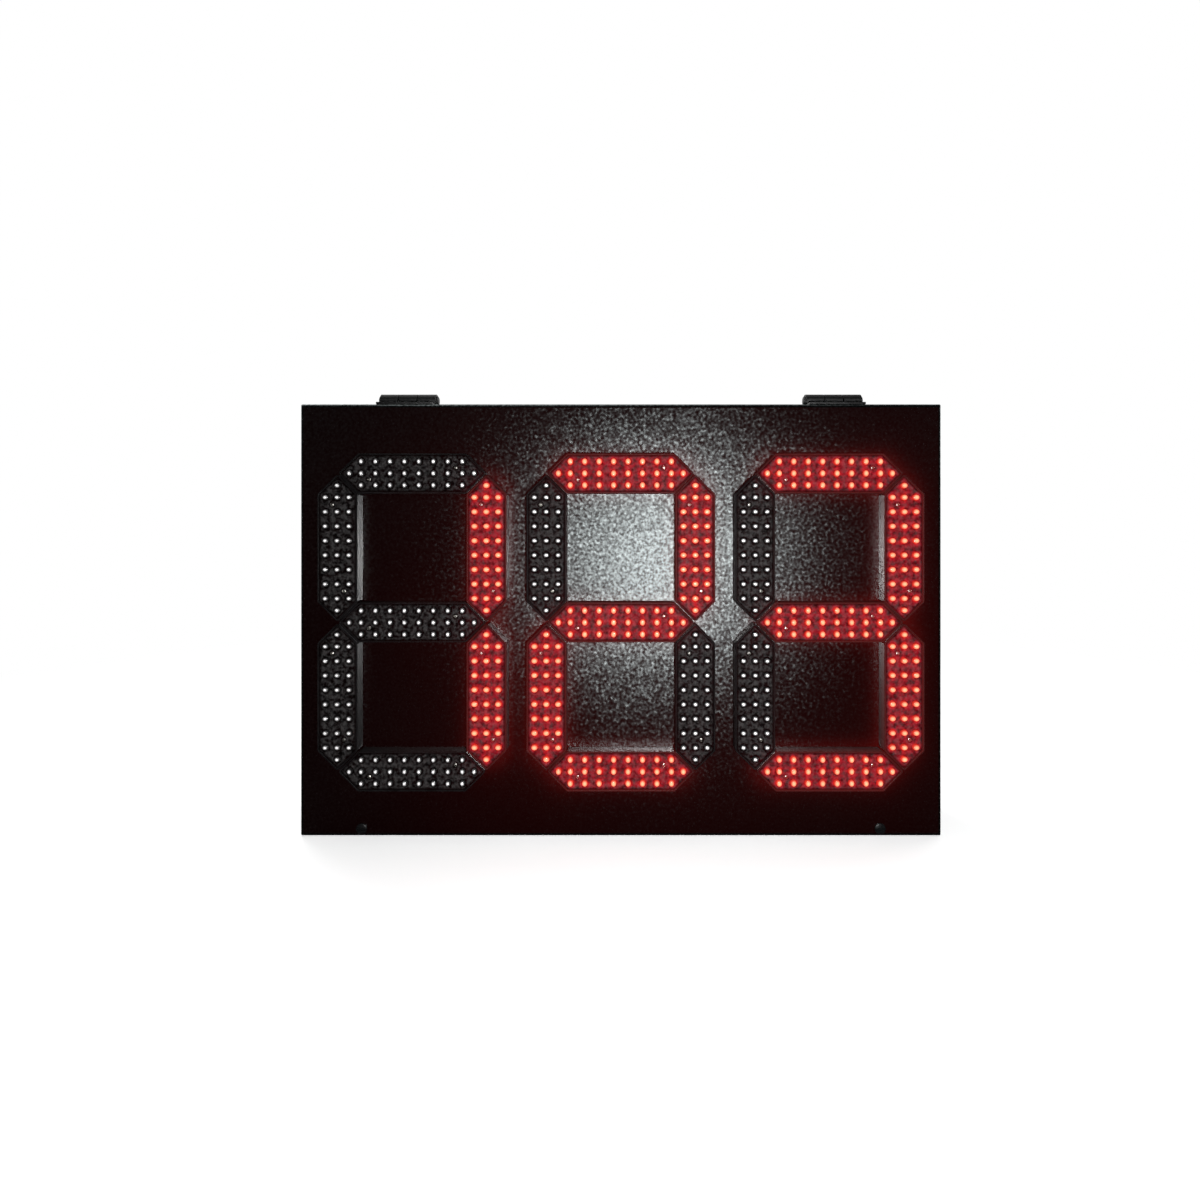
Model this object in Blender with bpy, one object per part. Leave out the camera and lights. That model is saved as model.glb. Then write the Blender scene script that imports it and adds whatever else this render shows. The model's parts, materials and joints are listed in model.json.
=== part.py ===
# A three-digit countdown display: a sheet-steel cabinet, a door hung from its top edge on two
# hinges, and seven lamp modules for each digit on the face of the door.
# Metres, +Z up, the digits face -Y. The origin is at the middle of the base.

import math

import bmesh
import bpy
from mathutils import Matrix, Vector

# Fits
TOUCH_GAP = 0.0003
RUN_GAP = 0.0004
HINGE_PLAY = 0.0003

# Digits and their modules
DIGIT_HEIGHT = 0.254
DIGIT_SPACING = 0.015
SEGMENT_WIDTH = 0.030
SEGMENT_GAP = 0.0007
MODULE_RAISE = 0.012
HOUSING_WALL = 0.0012
HOUSING_FLOOR = 0.0015
RIM_STEP = 0.0008
OUTLET_RADIUS = 0.005
OUTLET_STANDOUT = 0.004
STUD_RADIUS = 0.0015
STUD_TAIL = 0.0008
STUD_NUT_RADIUS = 0.0031
STUD_NUT_THICKNESS = 0.0024

# Lamps of one module
LAMP_COLUMNS = 8
LAMP_EDGE_MARGIN = 0.0061
LAMP_LONG = 0.0052
LAMP_SHORT = 0.0044
LAMP_DOME_RATIO = 0.6
LAMP_STANDOUT = 0.0016
LAMP_SIDES = 6

# Door and cabinet
SIDE_MARGIN = 0.019
TOP_MARGIN = 0.0395
SHEET = 0.0015
DOOR_DEPTH = 0.016
LIP_WIDTH = 0.020
CABINET_DEPTH = 0.060
SEAL_THICKNESS = 0.002
SEAL_WIDTH = 0.0075

# Hinges
HINGE_SIDE_MARGIN = 0.079
HINGE_LENGTH = 0.044
LEAF_LENGTH = 0.048
LEAF_REACH = 0.0150
LEAF_THICKNESS = 0.0016
KNUCKLE_RADIUS = 0.005
PIN_RADIUS = 0.002
PIN_HEAD_RADIUS = 0.0034
PIN_HEAD_THICKNESS = 0.0012
HINGE_SIDES = 16

# Quarter-turn door fasteners
FASTENER_SIDE_MARGIN = 0.048
FASTENER_HEIGHT = 0.0065
FASTENER_HEAD_RADIUS = 0.0042
FASTENER_HEAD_THICKNESS = 0.0018
FASTENER_SHANK_RADIUS = 0.0024
TONGUE_REACH = 0.0090
TONGUE_WIDTH = 0.0044
TONGUE_THICKNESS = 0.002
TONGUE_CLEARANCE = 0.0006
ROUND_SIDES = 12

# Mounting rails on the back
RAIL_SIDE_MARGIN = 0.087
RAIL_END_MARGIN = 0.0365
RAIL_DEPTH = 0.020
RAIL_WEB = 0.032
RAIL_FLANGE = 0.012
RAIL_SHEET = 0.002
KEYHOLE_HEAD_WIDTH = 0.014
KEYHOLE_NECK_WIDTH = 0.007
KEYHOLE_RISE = 0.014
KEYHOLE_END_MARGIN = 0.026
KEYHOLE_STEPS = 5

# Cable gland in the back wall
GLAND_SIDE_MARGIN = 0.167
GLAND_HEIGHT = 0.060
GLAND_THREAD_RADIUS = 0.010
GLAND_BORE_RADIUS = 0.0055
GLAND_HEX_RADIUS = 0.0135
GLAND_FLANGE_THICKNESS = 0.005
GLAND_DOME_RADIUS = 0.0095
GLAND_STANDOUT = 0.016
GLAND_THREAD_INSIDE = 0.009
GLAND_NUT_THICKNESS = 0.005

# Electronics
STANDOFF_RADIUS = 0.003
STANDOFF_HEIGHT = 0.006
BOARD_THICKNESS = 0.0016
BOARD_CORNER_INSET = 0.006
CONTROL_BOARD_SIZE = (0.130, 0.090)
CONTROL_BOARD_SIDE_MARGIN = 0.072
CONTROL_BOARD_TOP_MARGIN = 0.098
DRIVER_BOARD_SIZE = (0.300, 0.036)
SUPPLY_SIZE = (0.160, 0.030, 0.098)
SUPPLY_SIDE_MARGIN = 0.057
SUPPLY_BASE_MARGIN = 0.071
SUPPLY_TERMINAL_DEPTH = 0.018
SUPPLY_TERMINAL_STEP = 0.012

# Worked out from the sizes above
ROOT_2 = math.sqrt(2)
SEGMENT_SPACING = (DIGIT_HEIGHT - SEGMENT_WIDTH) / 2
DIGIT_WIDTH = SEGMENT_SPACING + SEGMENT_WIDTH
DIGIT_PITCH = DIGIT_WIDTH + DIGIT_SPACING
PANEL_WIDTH = 2 * DIGIT_PITCH + DIGIT_WIDTH + 2 * SIDE_MARGIN
PANEL_HEIGHT = DIGIT_HEIGHT + 2 * TOP_MARGIN
HINGE_OFFSET = PANEL_WIDTH / 2 - HINGE_SIDE_MARGIN
FASTENER_OFFSET = PANEL_WIDTH / 2 - FASTENER_SIDE_MARGIN
RAIL_OFFSET = PANEL_WIDTH / 2 - RAIL_SIDE_MARGIN
RAIL_LENGTH = PANEL_HEIGHT - 2 * RAIL_END_MARGIN
GLAND_X = PANEL_WIDTH / 2 - GLAND_SIDE_MARGIN
CONTROL_BOARD_X = PANEL_WIDTH / 2 - CONTROL_BOARD_SIDE_MARGIN - CONTROL_BOARD_SIZE[0] / 2
CONTROL_BOARD_Z = PANEL_HEIGHT - CONTROL_BOARD_TOP_MARGIN - CONTROL_BOARD_SIZE[1] / 2
SUPPLY_X = SUPPLY_SIDE_MARGIN + SUPPLY_SIZE[0] / 2 - PANEL_WIDTH / 2
SUPPLY_Z = SUPPLY_BASE_MARGIN + SUPPLY_SIZE[2] / 2
MODULE_TIP = (SEGMENT_SPACING - SEGMENT_GAP * ROOT_2) / 2
LAMP_ROW = SEGMENT_WIDTH / 2 - LAMP_EDGE_MARGIN
LAMP_END_TIP = MODULE_TIP - LAMP_EDGE_MARGIN * ROOT_2
LAMP_END_COLUMN = LAMP_END_TIP - LAMP_ROW
LAMP_PITCH = 2 * LAMP_END_COLUMN / (LAMP_COLUMNS - 1)
STUD_X = LAMP_END_COLUMN - LAMP_PITCH / 2
STUD_Z = LAMP_ROW / 2
SEAM = SEAL_THICKNESS + 2 * TOUCH_GAP
LAMP_FRONT = MODULE_RAISE - RIM_STEP + LAMP_STANDOUT
RAIL_REAR = TOUCH_GAP + RAIL_DEPTH
TOTAL_DEPTH = max(MODULE_RAISE, LAMP_FRONT) + DOOR_DEPTH + SEAM + CABINET_DEPTH + RAIL_REAR
DOOR_FRONT = max(MODULE_RAISE, LAMP_FRONT) - TOTAL_DEPTH / 2
DOOR_REAR = DOOR_FRONT + DOOR_DEPTH
CABINET_FRONT = DOOR_REAR + SEAM
CABINET_REAR = CABINET_FRONT + CABINET_DEPTH
HINGE_Y = (DOOR_REAR + CABINET_FRONT) / 2
HINGE_Z = PANEL_HEIGHT + TOUCH_GAP + KNUCKLE_RADIUS

# Segment places in a digit, counted in half spacings from its middle, and whether each stands up
SEGMENTS = {
    "top": (0, 2, False),
    "upper_left": (-1, 1, True),
    "upper_right": (1, 1, True),
    "middle": (0, 0, False),
    "lower_left": (-1, -1, True),
    "lower_right": (1, -1, True),
    "bottom": (0, -2, False),
}
LIT_SEGMENTS = (
    ("upper_right", "lower_right"),
    ("top", "upper_right", "middle", "lower_left", "bottom"),
    ("top", "upper_right", "middle", "lower_right", "bottom"),
)


def clear_scene():
    for item in list(bpy.data.objects):
        bpy.data.objects.remove(item)


def make_material(name, colour, roughness, metallic=0.0, glow=0.0):
    material = bpy.data.materials.new(name)
    material.use_nodes = True
    shader = material.node_tree.nodes["Principled BSDF"]
    shader.inputs["Base Color"].default_value = (*colour, 1.0)
    shader.inputs["Roughness"].default_value = roughness
    shader.inputs["Metallic"].default_value = metallic
    shader.inputs["Emission Color"].default_value = (*colour, 1.0)
    shader.inputs["Emission Strength"].default_value = glow
    return material


def rectangle(half_width, half_height, y):
    """Four corners round the Y axis."""
    corners = ((-1, -1), (1, -1), (1, 1), (-1, 1))
    return [(i * half_width, y, j * half_height) for i, j in corners]


def circle(radius, y, sides, turn=0.0):
    """A regular polygon round the Y axis whose corners lie at the radius."""
    angles = [turn + 2 * math.pi * i / sides for i in range(sides)]
    return [(radius * math.cos(a), y, radius * math.sin(a)) for a in angles]


def hexagon_of_twelve(radius, y):
    """A hexagon with a point at each corner and at the middle of each side."""
    points = []
    for i in range(12):
        reach = radius if i % 2 == 0 else radius * math.cos(math.pi / 6)
        angle = math.pi * i / 6
        points.append((reach * math.cos(angle), y, reach * math.sin(angle)))
    return points


def segment_outline(inset, y):
    """The long hexagon of a segment, its six corners drawn in by the inset along every side."""
    tip = MODULE_TIP - inset * ROOT_2
    half = SEGMENT_WIDTH / 2 - inset
    shoulder = tip - half
    return [
        (tip, y, 0),
        (shoulder, y, half),
        (-shoulder, y, half),
        (-tip, y, 0),
        (-shoulder, y, -half),
        (shoulder, y, -half),
    ]


def loft(name, rings, cyclic=False):
    """A closed skin through the rings, one after the other. Ends are capped, or joined if cyclic."""
    bm = bmesh.new()
    loops = [[bm.verts.new(point) for point in ring] for ring in rings]
    pairs = list(zip(loops, loops[1:]))
    if cyclic:
        pairs.append((loops[-1], loops[0]))
    else:
        bm.faces.new(loops[0])
        bm.faces.new(loops[-1])
    for first, second in pairs:
        count = len(first)
        for i in range(count):
            j = (i + 1) % count
            bm.faces.new((first[i], first[j], second[j], second[i]))
    bmesh.ops.recalc_face_normals(bm, faces=bm.faces)
    mesh = bpy.data.meshes.new(name)
    bm.to_mesh(mesh)
    bm.free()
    return mesh


def block(name, low, high):
    """A box between two corners."""
    centre = [(a + b) / 2 for a, b in zip(low, high)]
    half = [(b - a) / 2 for a, b in zip(low, high)]
    mesh = loft(name, [rectangle(half[0], half[2], -half[1]), rectangle(half[0], half[2], half[1])])
    mesh.transform(Matrix.Translation(centre))
    return mesh


def cylinder(name, radius, low, high, sides, axis="Y", centre=(0, 0, 0), turn=0.0):
    """A prism along an axis, from low to high on it."""
    mesh = loft(name, [circle(radius, low, sides, turn), circle(radius, high, sides, turn)])
    if axis == "X":
        mesh.transform(Matrix.Rotation(-math.pi / 2, 4, "Z"))
    mesh.transform(Matrix.Translation(centre))
    return mesh


def join_meshes(name, meshes):
    """Several skins in one mesh, as a cutter or as a set of lugs."""
    bm = bmesh.new()
    for mesh in meshes:
        bm.from_mesh(mesh)
        bpy.data.meshes.remove(mesh)
    joined = bpy.data.meshes.new(name)
    bm.to_mesh(joined)
    bm.free()
    return joined


def shaped(mesh, added=None, removed=None):
    """The mesh with one set of shapes united with it and another cut from it."""
    tool = bpy.data.objects.new(mesh.name, mesh)
    bpy.context.scene.collection.objects.link(tool)
    helpers = []
    for kind, shapes in (("UNION", added), ("DIFFERENCE", removed)):
        if not shapes:
            continue
        helper_mesh = join_meshes(mesh.name + "_" + kind.lower(), shapes)
        helper = bpy.data.objects.new(helper_mesh.name, helper_mesh)
        helper.hide_render = True
        helper.display_type = "WIRE"
        bpy.context.scene.collection.objects.link(helper)
        cut = tool.modifiers.new(kind.title(), "BOOLEAN")
        cut.operation = kind
        cut.solver = "EXACT"
        cut.use_self = True
        cut.object = helper
        helpers.append(helper)
    evaluated = tool.evaluated_get(bpy.context.evaluated_depsgraph_get())
    result = bpy.data.meshes.new_from_object(evaluated)
    result.name = mesh.name
    for item in [tool] + helpers:
        bpy.data.objects.remove(item)
    return result


def add_piece(name, mesh, material, place=(0, 0, 0), parent=None, turn_y=0.0, smooth=False):
    """One named object at its place in the world, riding on its parent."""
    if not mesh.materials:
        mesh.materials.append(material)
    piece = bpy.data.objects.new(name, mesh)
    bpy.context.scene.collection.objects.link(piece)
    piece.material_slots[0].link = "OBJECT"
    piece.material_slots[0].material = material
    piece.location = Vector(place)
    piece.rotation_euler = (0, turn_y, 0)
    if parent is not None:
        piece.parent = parent
        piece.location = Vector(place) - Vector(parent.location)
    if smooth:
        mesh.shade_smooth()
        mesh.set_sharp_from_angle(angle=math.radians(40))
    return piece


def add_axis(name, place):
    """An empty that stands on a joint's axis."""
    axis = bpy.data.objects.new(name, None)
    axis.location = place
    bpy.context.scene.collection.objects.link(axis)
    return axis


def digit_centre(digit):
    return (digit - 1) * DIGIT_PITCH


def segment_places():
    """Every segment as digit number, name, x, z and whether it stands up."""
    for digit in range(3):
        for name, (right, up, upright) in SEGMENTS.items():
            x = digit_centre(digit) + right * SEGMENT_SPACING / 2
            z = PANEL_HEIGHT / 2 + up * SEGMENT_SPACING / 2
            yield digit, name, x, z, upright


def lamp_places():
    """Lamp centres in one module: three rows, and one lamp at each pointed end."""
    places = [(-LAMP_END_TIP, 0.0), (LAMP_END_TIP, 0.0)]
    for column in range(LAMP_COLUMNS):
        for row in (-1, 0, 1):
            places.append((column * LAMP_PITCH - LAMP_END_COLUMN, row * LAMP_ROW))
    return places


def stud_places():
    """Where a module's two studs stand, between the outer lamps at opposite ends."""
    return [(-STUD_X, -STUD_Z), (STUD_X, STUD_Z)]


def housing_mesh():
    """An open hexagonal tray, its back on the door at y = 0, with a wire outlet and two nutted studs behind."""
    back = -TOUCH_GAP
    rim = -MODULE_RAISE
    floor = back - HOUSING_FLOOR
    outlet_rear = SHEET + OUTLET_STANDOUT
    nut_front = SHEET + TOUCH_GAP
    nut_rear = nut_front + STUD_NUT_THICKNESS
    mesh = loft("module_housing", [
        circle(OUTLET_RADIUS, outlet_rear, 6),
        circle(OUTLET_RADIUS, back, 6),
        segment_outline(0, back),
        segment_outline(0, rim),
        segment_outline(HOUSING_WALL, rim),
        segment_outline(HOUSING_WALL, floor),
    ])
    studs = []
    for x, z in stud_places():
        low = back - HOUSING_FLOOR / 2
        studs.append(cylinder("stud", STUD_RADIUS, low, nut_rear + STUD_TAIL, 6, centre=(x, 0, z)))
        studs.append(cylinder("nut", STUD_NUT_RADIUS, nut_front, nut_rear, 6, centre=(x, 0, z)))
    return shaped(mesh, added=studs)


def lamp_block_mesh():
    """The potted lamps: a long hexagonal block that fills the tray, with domed lamps in its face."""
    inset = HOUSING_WALL + TOUCH_GAP
    rear = -2 * TOUCH_GAP - HOUSING_FLOOR
    face = RIM_STEP - MODULE_RAISE
    mesh = loft("lamp_block", [segment_outline(inset, rear), segment_outline(inset, face)])
    lamps = []
    for x, z in lamp_places():
        rings = []
        for y, share in ((face + RIM_STEP, 1.0), (face, 1.0), (face - LAMP_STANDOUT, LAMP_DOME_RATIO)):
            ring = circle(share / 2, y, LAMP_SIDES, math.pi / 6)
            rings.append([(x + p * LAMP_SHORT, q, z + r * LAMP_LONG) for p, q, r in ring])
        lamps.append(loft("lamp", rings))
    return shaped(mesh, added=lamps)


def add_modules(door_axis):
    housing = housing_mesh()
    lamps = lamp_block_mesh()
    housing_black = make_material("housing_black", (0.045, 0.045, 0.048), 0.45)
    lamp_clear = make_material("lamp_clear", (0.10, 0.10, 0.10), 0.30)
    lamp_red = make_material("lamp_red", (0.90, 0.05, 0.02), 0.30, glow=1.5)
    for digit, name, x, z, upright in segment_places():
        turn = math.pi / 2 if upright else 0.0
        lit = name in LIT_SEGMENTS[digit]
        label = f"digit_{digit + 1}_{name}"
        place = (x, DOOR_FRONT, z)
        add_piece(label + "_housing", housing, housing_black, place, door_axis, turn)
        add_piece(label + "_lamps", lamps, lamp_red if lit else lamp_clear, place, door_axis, turn)


def standoffs(centre, size, low, high):
    """Four hexagonal pillars under a board's corners."""
    pillars = []
    for i in (-1, 1):
        for j in (-1, 1):
            x = centre[0] + i * (size[0] / 2 - BOARD_CORNER_INSET)
            z = centre[1] + j * (size[1] / 2 - BOARD_CORNER_INSET)
            pillars.append(cylinder("pillar", STANDOFF_RADIUS, low, high, 6, centre=(x, 0, z)))
    return pillars


def driver_board_place():
    """The driver board lies between the middle segments' outlets and the upper ones'."""
    return (0.0, PANEL_HEIGHT / 2 + SEGMENT_SPACING / 4)


def add_door_panel(door_axis):
    """A shallow pan, open to the rear, with a lip turned in all round."""
    half_width = PANEL_WIDTH / 2
    half_height = PANEL_HEIGHT / 2
    rings = [
        rectangle(half_width, half_height, 0),
        rectangle(half_width, half_height, DOOR_DEPTH),
        rectangle(half_width - LIP_WIDTH, half_height - LIP_WIDTH, DOOR_DEPTH),
        rectangle(half_width - LIP_WIDTH, half_height - LIP_WIDTH, DOOR_DEPTH - SHEET),
        rectangle(half_width - SHEET, half_height - SHEET, DOOR_DEPTH - SHEET),
        rectangle(half_width - SHEET, half_height - SHEET, SHEET),
    ]
    mesh = loft("door_panel", rings)
    mesh.transform(Matrix.Translation((0, DOOR_FRONT, half_height)))
    holes = []
    for _, _, x, z, upright in segment_places():
        turn = math.pi / 2 if upright else 0.0
        module_holes = [(OUTLET_RADIUS, 0.0, 0.0)]
        module_holes += [(STUD_RADIUS, *place) for place in stud_places()]
        for radius, across, up in module_holes:
            hole = loft("module_hole", [
                circle(radius + RUN_GAP, DOOR_FRONT + y, 6) for y in (-SHEET, 2 * SHEET)
            ])
            hole.transform(Matrix.Translation((across, 0, up)))
            hole.transform(Matrix.Translation((x, 0, z)) @ Matrix.Rotation(turn, 4, "Y"))
            holes.append(hole)
    for side in (-1, 1):
        holes.append(cylinder(
            "fastener_hole", FASTENER_SHANK_RADIUS + RUN_GAP,
            DOOR_FRONT - SHEET, DOOR_REAR + SHEET, ROUND_SIDES,
            centre=(side * FASTENER_OFFSET, 0, FASTENER_HEIGHT),
        ))
    low = DOOR_FRONT + SHEET / 2
    high = DOOR_FRONT + SHEET + STANDOFF_HEIGHT
    pillars = standoffs(driver_board_place(), DRIVER_BOARD_SIZE, low, high)
    mesh = shaped(mesh, added=pillars, removed=holes)
    mesh.transform(Matrix.Translation(-Vector(door_axis.location)))
    black = make_material("textured_black", (0.012, 0.012, 0.013), 0.50)
    add_piece("door_panel", mesh, black, door_axis.location, door_axis)
    return black


def add_cabinet(black):
    """A deep box, open to the front, with a lip turned in all round its mouth."""
    half_width = PANEL_WIDTH / 2
    half_height = PANEL_HEIGHT / 2
    rings = [
        rectangle(half_width, half_height, CABINET_DEPTH),
        rectangle(half_width, half_height, 0),
        rectangle(half_width - LIP_WIDTH, half_height - LIP_WIDTH, 0),
        rectangle(half_width - LIP_WIDTH, half_height - LIP_WIDTH, SHEET),
        rectangle(half_width - SHEET, half_height - SHEET, SHEET),
        rectangle(half_width - SHEET, half_height - SHEET, CABINET_DEPTH - SHEET),
    ]
    mesh = loft("cabinet", rings)
    mesh.transform(Matrix.Translation((0, CABINET_FRONT, half_height)))
    radius = FASTENER_SHANK_RADIUS + TONGUE_CLEARANCE
    slot_half = max(TONGUE_WIDTH / 2 + TONGUE_CLEARANCE, radius)
    cuts = []
    for side in (-1, 1):
        x = side * FASTENER_OFFSET
        cuts.append(block(
            "fastener_slot",
            (x - TONGUE_REACH - TONGUE_CLEARANCE, CABINET_FRONT - SHEET, FASTENER_HEIGHT - slot_half),
            (x + radius, CABINET_FRONT + 2 * SHEET, FASTENER_HEIGHT + slot_half),
        ))
    cuts.append(cylinder(
        "gland_hole", GLAND_THREAD_RADIUS + RUN_GAP,
        CABINET_REAR - 2 * SHEET, CABINET_REAR + SHEET, ROUND_SIDES,
        centre=(GLAND_X, 0, GLAND_HEIGHT),
    ))
    low = CABINET_REAR - SHEET - STANDOFF_HEIGHT
    place = (CONTROL_BOARD_X, CONTROL_BOARD_Z)
    pillars = standoffs(place, CONTROL_BOARD_SIZE, low, CABINET_REAR - SHEET / 2)
    add_piece("cabinet", shaped(mesh, added=pillars, removed=cuts), black)


def add_gasket():
    """A flat rubber frame on the cabinet's lip, inside the line of the fasteners."""
    rear = CABINET_FRONT - TOUCH_GAP
    outer = LIP_WIDTH - SEAL_WIDTH
    rings = []
    for inset, y in ((outer, rear), (LIP_WIDTH, rear), (LIP_WIDTH, rear - SEAL_THICKNESS),
                     (outer, rear - SEAL_THICKNESS)):
        rings.append(rectangle(PANEL_WIDTH / 2 - inset, PANEL_HEIGHT / 2 - inset, y))
    mesh = loft("door_gasket", rings, cyclic=True)
    mesh.transform(Matrix.Translation((0, 0, PANEL_HEIGHT / 2)))
    add_piece("door_gasket", mesh, make_material("seal_rubber", (0.02, 0.02, 0.02), 0.80))


def knuckle(low, high):
    """A barrel length of the hinge, round the hinge axis."""
    return cylinder("knuckle", KNUCKLE_RADIUS, low, high, HINGE_SIDES, axis="X", turn=math.pi / 16)


def leaf_mesh(name, side, knuckles, tongues):
    """A hinge leaf round its axis: a plate on the sheet, run under the barrel where it has knuckles."""
    bottom = -KNUCKLE_RADIUS
    top = bottom + LEAF_THICKNESS
    near = KNUCKLE_RADIUS + HINGE_PLAY
    ends = sorted((side * near, side * LEAF_REACH))
    plate = block(name, (-LEAF_LENGTH / 2, ends[0], bottom), (LEAF_LENGTH / 2, ends[1], top))
    added = [knuckle(low, high) for low, high in knuckles]
    for low, high in tongues:
        reach = sorted((0.0, side * (near + LEAF_THICKNESS)))
        added.append(block("web", (low, reach[0], bottom), (high, reach[1], top)))
    bore = cylinder("bore", PIN_RADIUS + HINGE_PLAY, -LEAF_LENGTH, LEAF_LENGTH, HINGE_SIDES, axis="X")
    return shaped(plate, added=added, removed=[bore])


def add_hinges(door_axis, steel):
    third = (HINGE_LENGTH - 2 * HINGE_PLAY) / 3
    inner = third / 2
    outer = inner + HINGE_PLAY
    end = HINGE_LENGTH / 2
    door_leaf = leaf_mesh("door_leaf", -1, [(-inner, inner)], [(-inner, inner)])
    sides = [(-end, -outer), (outer, end)]
    cabinet_leaf = leaf_mesh("cabinet_leaf", 1, sides, sides)
    head = end + TOUCH_GAP
    tip = head + PIN_HEAD_THICKNESS
    pin = loft("hinge_pin", [
        circle(radius, place, ROUND_SIDES)
        for radius, place in ((PIN_HEAD_RADIUS, -tip), (PIN_HEAD_RADIUS, -head), (PIN_RADIUS, -head),
                              (PIN_RADIUS, head), (PIN_HEAD_RADIUS, head), (PIN_HEAD_RADIUS, tip))
    ])
    pin.transform(Matrix.Rotation(-math.pi / 2, 4, "Z"))
    paint = make_material("hinge_black", (0.02, 0.02, 0.02), 0.35)
    for label, side in (("left", -1), ("right", 1)):
        place = (side * HINGE_OFFSET, HINGE_Y, HINGE_Z)
        add_piece(f"{label}_hinge_door_leaf", door_leaf, paint, place, door_axis)
        add_piece(f"{label}_hinge_cabinet_leaf", cabinet_leaf, paint, place)
        add_piece(f"{label}_hinge_pin", pin, steel, place, smooth=True)


def add_fasteners(door_axis, steel):
    """Quarter-turn fasteners: a head on the door's face, a shank, and a tongue behind the cabinet's lip."""
    head_rear = -TOUCH_GAP
    tongue_front = DOOR_DEPTH + SEAM + SHEET + TONGUE_CLEARANCE
    tongue_rear = tongue_front + TONGUE_THICKNESS
    mesh = loft("door_fastener", [
        circle(FASTENER_HEAD_RADIUS * 0.8, head_rear - FASTENER_HEAD_THICKNESS, ROUND_SIDES),
        circle(FASTENER_HEAD_RADIUS, head_rear - FASTENER_HEAD_THICKNESS / 2, ROUND_SIDES),
        circle(FASTENER_HEAD_RADIUS, head_rear, ROUND_SIDES),
        circle(FASTENER_SHANK_RADIUS, head_rear, ROUND_SIDES),
        circle(FASTENER_SHANK_RADIUS, tongue_rear, ROUND_SIDES),
    ])
    tongue = block(
        "tongue",
        (-TONGUE_REACH, tongue_front, -TONGUE_WIDTH / 2),
        (0, tongue_rear - TOUCH_GAP, TONGUE_WIDTH / 2),
    )
    mesh = shaped(mesh, added=[tongue])
    for label, side in (("left", -1), ("right", 1)):
        place = (side * FASTENER_OFFSET, DOOR_FRONT, FASTENER_HEIGHT)
        add_piece(f"{label}_door_fastener", mesh, steel, place, door_axis)


def add_rails(black):
    """Top-hat channels that stand upright on the cabinet's back, with two keyholes each."""
    web = RAIL_WEB / 2
    foot = web + RAIL_FLANGE
    inner = web - RAIL_SHEET
    outline = [
        (-foot, 0), (-inner, 0), (-inner, RAIL_DEPTH - RAIL_SHEET), (inner, RAIL_DEPTH - RAIL_SHEET),
        (inner, 0), (foot, 0), (foot, RAIL_SHEET), (web, RAIL_SHEET), (web, RAIL_DEPTH),
        (-web, RAIL_DEPTH), (-web, RAIL_SHEET), (-foot, RAIL_SHEET),
    ]
    rings = [[(x, y, z) for x, y in outline] for z in (-RAIL_LENGTH / 2, RAIL_LENGTH / 2)]
    mesh = loft("mounting_rail", rings)
    cuts = [keyhole_cutter(end * (RAIL_LENGTH / 2 - KEYHOLE_END_MARGIN)) for end in (-1, 1)]
    mesh = shaped(mesh, removed=cuts)
    for label, side in (("left", -1), ("right", 1)):
        place = (side * RAIL_OFFSET, CABINET_REAR + TOUCH_GAP, PANEL_HEIGHT / 2)
        add_piece(f"{label}_mounting_rail", mesh, black, place)


def keyhole_cutter(z):
    """A round hole for a screw's head at z, with a narrow neck above it, through a rail's web."""
    neck = KEYHOLE_NECK_WIDTH / 2
    head = KEYHOLE_HEAD_WIDTH / 2
    top = KEYHOLE_RISE
    meet = math.acos(neck / head)
    outline = []
    for i in range(KEYHOLE_STEPS + 1):
        angle = math.pi * i / KEYHOLE_STEPS
        outline.append((neck * math.cos(angle), top + neck * math.sin(angle)))
    for i in range(2 * KEYHOLE_STEPS + 1):
        angle = math.pi - meet + (math.pi + 2 * meet) * i / (2 * KEYHOLE_STEPS)
        outline.append((head * math.cos(angle), head * math.sin(angle)))
    depths = (RAIL_DEPTH - 2 * RAIL_SHEET, RAIL_DEPTH + RAIL_SHEET)
    return loft("keyhole", [[(x, y, z + height) for x, height in outline] for y in depths])


def add_gland():
    """A cable gland through the back wall and its nut inside, both with the bore left open."""
    flange_rear = TOUCH_GAP + GLAND_FLANGE_THICKNESS
    inside = -SHEET - GLAND_THREAD_INSIDE
    sides = 12
    body = loft("cable_gland", [
        circle(GLAND_BORE_RADIUS, inside, sides),
        circle(GLAND_THREAD_RADIUS, inside, sides),
        circle(GLAND_THREAD_RADIUS, TOUCH_GAP, sides),
        hexagon_of_twelve(GLAND_HEX_RADIUS, TOUCH_GAP),
        hexagon_of_twelve(GLAND_HEX_RADIUS, flange_rear),
        circle(GLAND_DOME_RADIUS * 1.2, flange_rear + TOUCH_GAP, sides),
        circle(GLAND_DOME_RADIUS, GLAND_STANDOUT, sides),
        circle(GLAND_BORE_RADIUS, GLAND_STANDOUT, sides),
    ], cyclic=True)
    nut_rear = -SHEET - TOUCH_GAP
    nut = loft("gland_nut", [
        circle(GLAND_THREAD_RADIUS + RUN_GAP, nut_rear, sides),
        hexagon_of_twelve(GLAND_HEX_RADIUS, nut_rear),
        hexagon_of_twelve(GLAND_HEX_RADIUS, nut_rear - GLAND_NUT_THICKNESS),
        circle(GLAND_THREAD_RADIUS + RUN_GAP, nut_rear - GLAND_NUT_THICKNESS, sides),
    ], cyclic=True)
    nylon = make_material("gland_nylon", (0.03, 0.03, 0.03), 0.40)
    place = (GLAND_X, CABINET_REAR, GLAND_HEIGHT)
    add_piece("cable_gland", body, nylon, place)
    add_piece("gland_nut", nut, nylon, place)


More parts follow.
